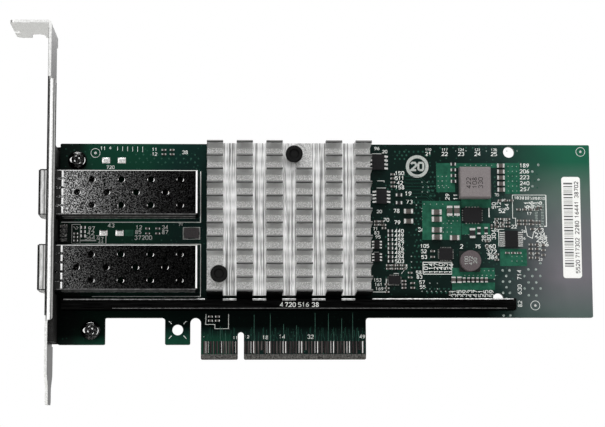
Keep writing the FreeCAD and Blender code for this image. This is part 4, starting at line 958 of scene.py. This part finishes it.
def cage_creases(port):
    """Dim painted highlights along the side of a cage that looks down: thin rods half-way between its
    top and the board, and where it meets the board."""
    low, high = box("port_cover_" + port)
    forms = [rod((board_low.x + 1, y, low.z), (high.x - 1, y, low.z), 0.1)
             for y in (low.y * 0.55, FACE - 0.5)]
    piece("cage_creases_" + port, forms, dim_highlight_metal)


def crescent(radius, width, first, last):
    """Crescent bent round a circle of the given radius between two angles in degrees: its width
    falls off as the cosine from its middle to both horns."""
    steps = 9
    turn = np.linspace(math.radians(first), math.radians(last), steps)
    way = np.stack([np.cos(turn), np.zeros(steps), np.sin(turn)], axis=1)
    reach = radius + INK + width * np.cos(np.linspace(-0.48, 0.48, steps) * PI)
    inner, outer = radius * way, reach[:, None] * way
    lift = np.array([0, -0.04, 0])
    return skin(np.stack([inner, outer, outer + lift, inner + lift], axis=1))


def vent_glints(port):
    """Light on the drawn rims of the vents, broad at the right of each hole and short at the left
    of those further along the cage."""
    low, high = box("port_cover_" + port)
    column, row = np.meshgrid(np.arange(4), np.array([-1, 0, 1]))
    x = low.x + VENT_START + np.where(row == 0, 0, VENT_PITCH / 2) + column * VENT_PITCH
    z = (low.z + high.z) / 2 + VENT_ROW * row
    spots = np.stack([x, np.full(x.shape, low.y), z], axis=-1).reshape(-1, 3)
    later = spots[spots[:, 0] > low.x + 2 * VENT_START]
    rim = VENT_RADIUS - INK
    forms = [spread(crescent(rim, 0.17, -50, 20), spots),
             spread(crescent(rim, 0.12, 165, 200), later)]
    piece("vent_glints_" + port, forms, highlight_metal)


def finger_tips(port):
    """Turned-up ends of the collar's fingers along the cage's top, where each takes the light."""
    low, high = box("port_spring_collar_" + port)
    top = (low.z + high.z) / 2 + (FINGER_COUNT - 1) / 2 * FINGER_PITCH
    places = grid(high.x + 0.4, top, 1, FINGER_COUNT, 1, FINGER_PITCH)
    level = FACE - box("port_cover_" + port)[0].y
    form = slabs(places, (0.6, 2.0), level, rise=0.22, bevel=0.05)
    piece("finger_tips_" + port, [form], highlight_metal)


def flange_lines():
    """Painted shade along the arrises of the bracket's near flange, a fine dark line down each of its
    two sides.
    """
    low, _ = box("mounting_bracket")
    near, far, foot = low.x + FLANGE_START + 0.1, low.x + FLANGE_START + FLANGE_WIDTH, 12.9
    forms = [rod((far, low.y + 0.3, foot), (far, low.y + 0.3, 85.6), 0.24),
             rod((near, low.y + 0.25, foot), (near, low.y + 0.25, 103.4), 0.22)]
    piece("flange_lines", forms, shade_black, smooth=True)


def screw_glints():
    """Light on the bracket screws: arcs round the shoulder of each pan head, and flecks on the
    corners of its cross recess."""
    low, high = box("bracket_screws")
    head = 2.95
    centres = np.array([(low.x + head, FACE, high.z - head), (high.x - head, FACE, low.z + head)])
    arcs = [(1.75, 0.6, 152, 212, 1.65), (2.3, 0.2, -38, 22, 1.45), (2.35, 0.12, 62, 118, 1.4),
            (0.6, 0.32, 15, 70, 1.78), (0.75, 0.3, 185, 230, 1.78), (1.15, 0.2, 95, 125, 1.78),
            (1.3, 0.16, 290, 325, 1.75)]
    forms = [spread(crescent(*arc), centres - (0, depth, 0), (1, 9, 1)) for *arc, depth in arcs]
    piece("screw_glints", forms, highlight_metal)


for dressing in (collar_seams, cage_folds, cage_creases, vent_glints, finger_tips):
    for port in PORTS:
        dressing(port)
flange_lines()
screw_glints()


# ---------------------------------------------------------------- heat sink and bar

def fin_edges():
    """Painted shade along the lower edge of every fin's tip, a thin dark line across the column."""
    low, _ = box("heat_sink")
    pin_low, pin_high = box("heat_sink_push_pins")
    column, row = np.meshgrid(np.arange(FIN_COLUMNS), np.arange(FIN_ROWS))
    x = low.x + column.ravel() * COLUMN_PITCH + COLUMN_WIDTH / 2
    z = low.z + FIN_ROOT / 2 + row.ravel() * FIN_PITCH
    kept = np.ones(x.shape, bool)
    for pin_x, pin_z in ((pin_high.x - PIN_HEAD, pin_high.z - PIN_HEAD),
                         (pin_low.x + PIN_HEAD, pin_low.z + PIN_HEAD)):
        kept &= (np.abs(x - pin_x) >= COLUMN_WIDTH / 2 + PIN_HEAD) | (np.abs(z - pin_z) >= PIN_CLEAR)
    width = 0.3
    places = np.stack([x[kept], z[kept] - FIN_TIP / 2 + width / 2], axis=1)
    form = slabs(places, (COLUMN_WIDTH, width), level=FACE - low.y)
    piece("fin_edges", [form], shade_black)


def die_lines():
    """Bright die lines down the heat sink's channels: one near each side and two between them,
    which wander by a few hundredths of a millimetre as a sine of their height."""
    low, high = box("heat_sink")
    z = np.linspace(low.z + 0.05, high.z - 0.05, 40)
    forms = []
    for k in range(FIN_COLUMNS - 1):
        start = low.x + k * COLUMN_PITCH + COLUMN_WIDTH
        for offset, width in ((0.62, 0.3), (1.7 + 0.25 * math.sin(k * 2.1), 0.16),
                              (2.5 + 0.3 * math.sin(k * 3.7), 0.2), (3.85, 0.28)):
            x = start + offset + 0.05 * np.sin(z * 1.9 + k * 2 + offset) * (z % 4.3 > 1.2)
            forms.append(ribbon(np.stack([x, z], axis=1), width, 0.04, face=low.y + FIN_HEIGHT))
    piece("die_lines", forms, die_line)


def edge_band(low, high, first, last, drop):
    """Thin band wrapped round the bar's upper edge from x first to last: an arc of a little more
    than the edge's own rounding, which runs on down the front face by drop. Its section is carried
    along x."""
    turn = np.linspace(PI, PI / 2, 6)
    arc = np.stack([np.cos(turn), np.sin(turn)], axis=1)
    sunk = 0.05
    middle = np.array([low.y + BAR_EDGE, high.z - BAR_EDGE])
    foot = middle[1] - drop
    section = np.concatenate([[(low.y - INK, foot)], middle + (BAR_EDGE + INK) * arc,
                              (middle + (BAR_EDGE - sunk) * arc)[::-1], [(low.y + sunk, foot)]])
    return skin(np.stack([np.insert(section, 0, x, axis=1) for x in (first, last)]))


def bar_arris():
    """Painted highlights on the black bar's edges: a grey line round its upper edge on both sides of
    the heat sink, a finer one along the lower edge, and pale patches of painted light below the
    sink's channels."""
    low, high = box("stiffener_bar")
    sink_low, sink_high = box("heat_sink")
    forms = [edge_band(low, high, low.x + 0.8, sink_low.x - 0.6, 0.12),
             edge_band(low, high, sink_high.x + 0.4, high.x - 0.8, 0.05),
             ribbon([(low.x + 16, low.z + 0.42), (high.x - 3, low.z + 0.42)], 0.1, face=low.y)]
    for k in range(FIN_COLUMNS - 1):
        start = sink_low.x + COLUMN_WIDTH + COLUMN_PITCH * k
        forms.append(edge_band(low, high, start, start + COLUMN_PITCH - COLUMN_WIDTH, 0.35))
    piece("bar_arris", forms, dim_highlight_metal)


def bar_number():
    """Plain numbers printed on the bar's front, each group set after the width of the last."""
    marks = []
    x, z = 12.3, 16.95
    for number in (4, 720, 516, 38):
        digits = len(str(number))
        marks.append((number, x + 0.9 * digits / 2, z, 1.25))
        x += 1.15 * digits + 0.7
    forms = numerals(marks, 0.0, 0.17, box("stiffener_bar")[0].y)
    piece("bar_number", forms, silk_ink)


fin_edges()
die_lines()
bar_arris()
bar_number()


# ---------------------------------------------------------------- stage

def aim(azimuth, elevation, roll):
    """Rotation of a camera that looks from azimuth and elevation, turned about its axis by roll."""
    back = Vector((math.sin(azimuth) * math.cos(elevation), -math.cos(azimuth) * math.cos(elevation),
                   math.sin(elevation)))
    turn = (-back).to_track_quat("-Z", "Y").to_matrix().to_4x4()
    return back, turn @ Matrix.Rotation(roll, 4, "Z")


def camera():
    """Long lens a little left of the card and below its middle."""
    data = bpy.data.cameras.new("camera")
    data.sensor_width = 36.0
    data.lens = 109.9
    data.clip_start = 0.01
    data.clip_end = 20.0
    back, turn = aim(math.radians(-2.2), math.radians(-7.7), math.radians(-0.206))
    target = Vector((19.65, 0, 46.62)) * MM
    distance = 0.59
    place = Matrix.Translation(target + back * distance) @ turn
    bpy.context.scene.camera = show("camera", data, place)


def lamp(name, place, size, power):
    """Square soft box that shines from place towards the middle of the card."""
    data = bpy.data.lights.new(name, "AREA")
    data.shape = "SQUARE"
    data.size = size
    data.energy = power
    way = Vector((20, 0, 40)) * MM - Vector(place)
    turn = way.to_track_quat("-Z", "Y").to_matrix().to_4x4()
    show(name, data, Matrix.Translation(place) @ turn)


def world():
    """White backdrop behind the card, which the camera and gloss see, a bright room in front of it
    and a dark band between them on all sides, so that rounded metal edges turn dark as they do
    between two soft boxes. The rest gets a plain level of light."""
    made = bpy.data.worlds.new("studio")
    made.use_nodes = True
    tree = made.node_tree
    tree.nodes.clear()
    axes = add(tree, "SeparateXYZ", [add(tree, "TexCoord").outputs["Generated"]])
    depth = add(tree, "MapRange", [axes.outputs["Y"], -1.0])
    band = add(tree, "ValToRGB", [depth], stops=[(0.0, 0.75), (0.25, 0.55), (0.4, 0.03),
                                                 (0.58, 0.03), (0.72, 1.0)])
    rays = add(tree, "LightPath").outputs
    glossy = add(tree, "Math", [rays["Is Glossy Ray"], rays["Is Transmission Ray"]], "MAXIMUM")
    reflected = add(tree, "Mix", [glossy, rgba(0.4), band])
    seen = add(tree, "Mix", [rays["Is Camera Ray"], reflected, rgba(1.0)])
    background = add(tree, "Background", {"Color": seen})
    add(tree, "OutputWorld", {"Surface": background})
    bpy.context.scene.world = made


def floor():
    """Pale studio floor well below the card."""
    level = cad_box[0].z / MM - 45
    half = 1500
    corners = [(-half, -half, level), (half, -half, level), (half, half, level), (-half, half, level)]
    sweep = moulding("pale_paper_sweep", "#e7e7e5", "#ebebe9", 0.9, 20, gloss=0.1)
    built = show("studio_floor", mesh_from("studio_floor", corners, [(0, 1, 2, 3)], sweep))


camera()
world()
floor()
lamp("key_lamp", (0.0, -0.75, 1.15), 0.7, 14)
lamp("fill_lamp", (-0.9, -1.1, 0.1), 0.9, 3)
lamp("back_lamp", (0.4, 1.0, 0.8), 0.9, 8)

view = bpy.context.scene.view_settings
view.view_transform = "Standard"
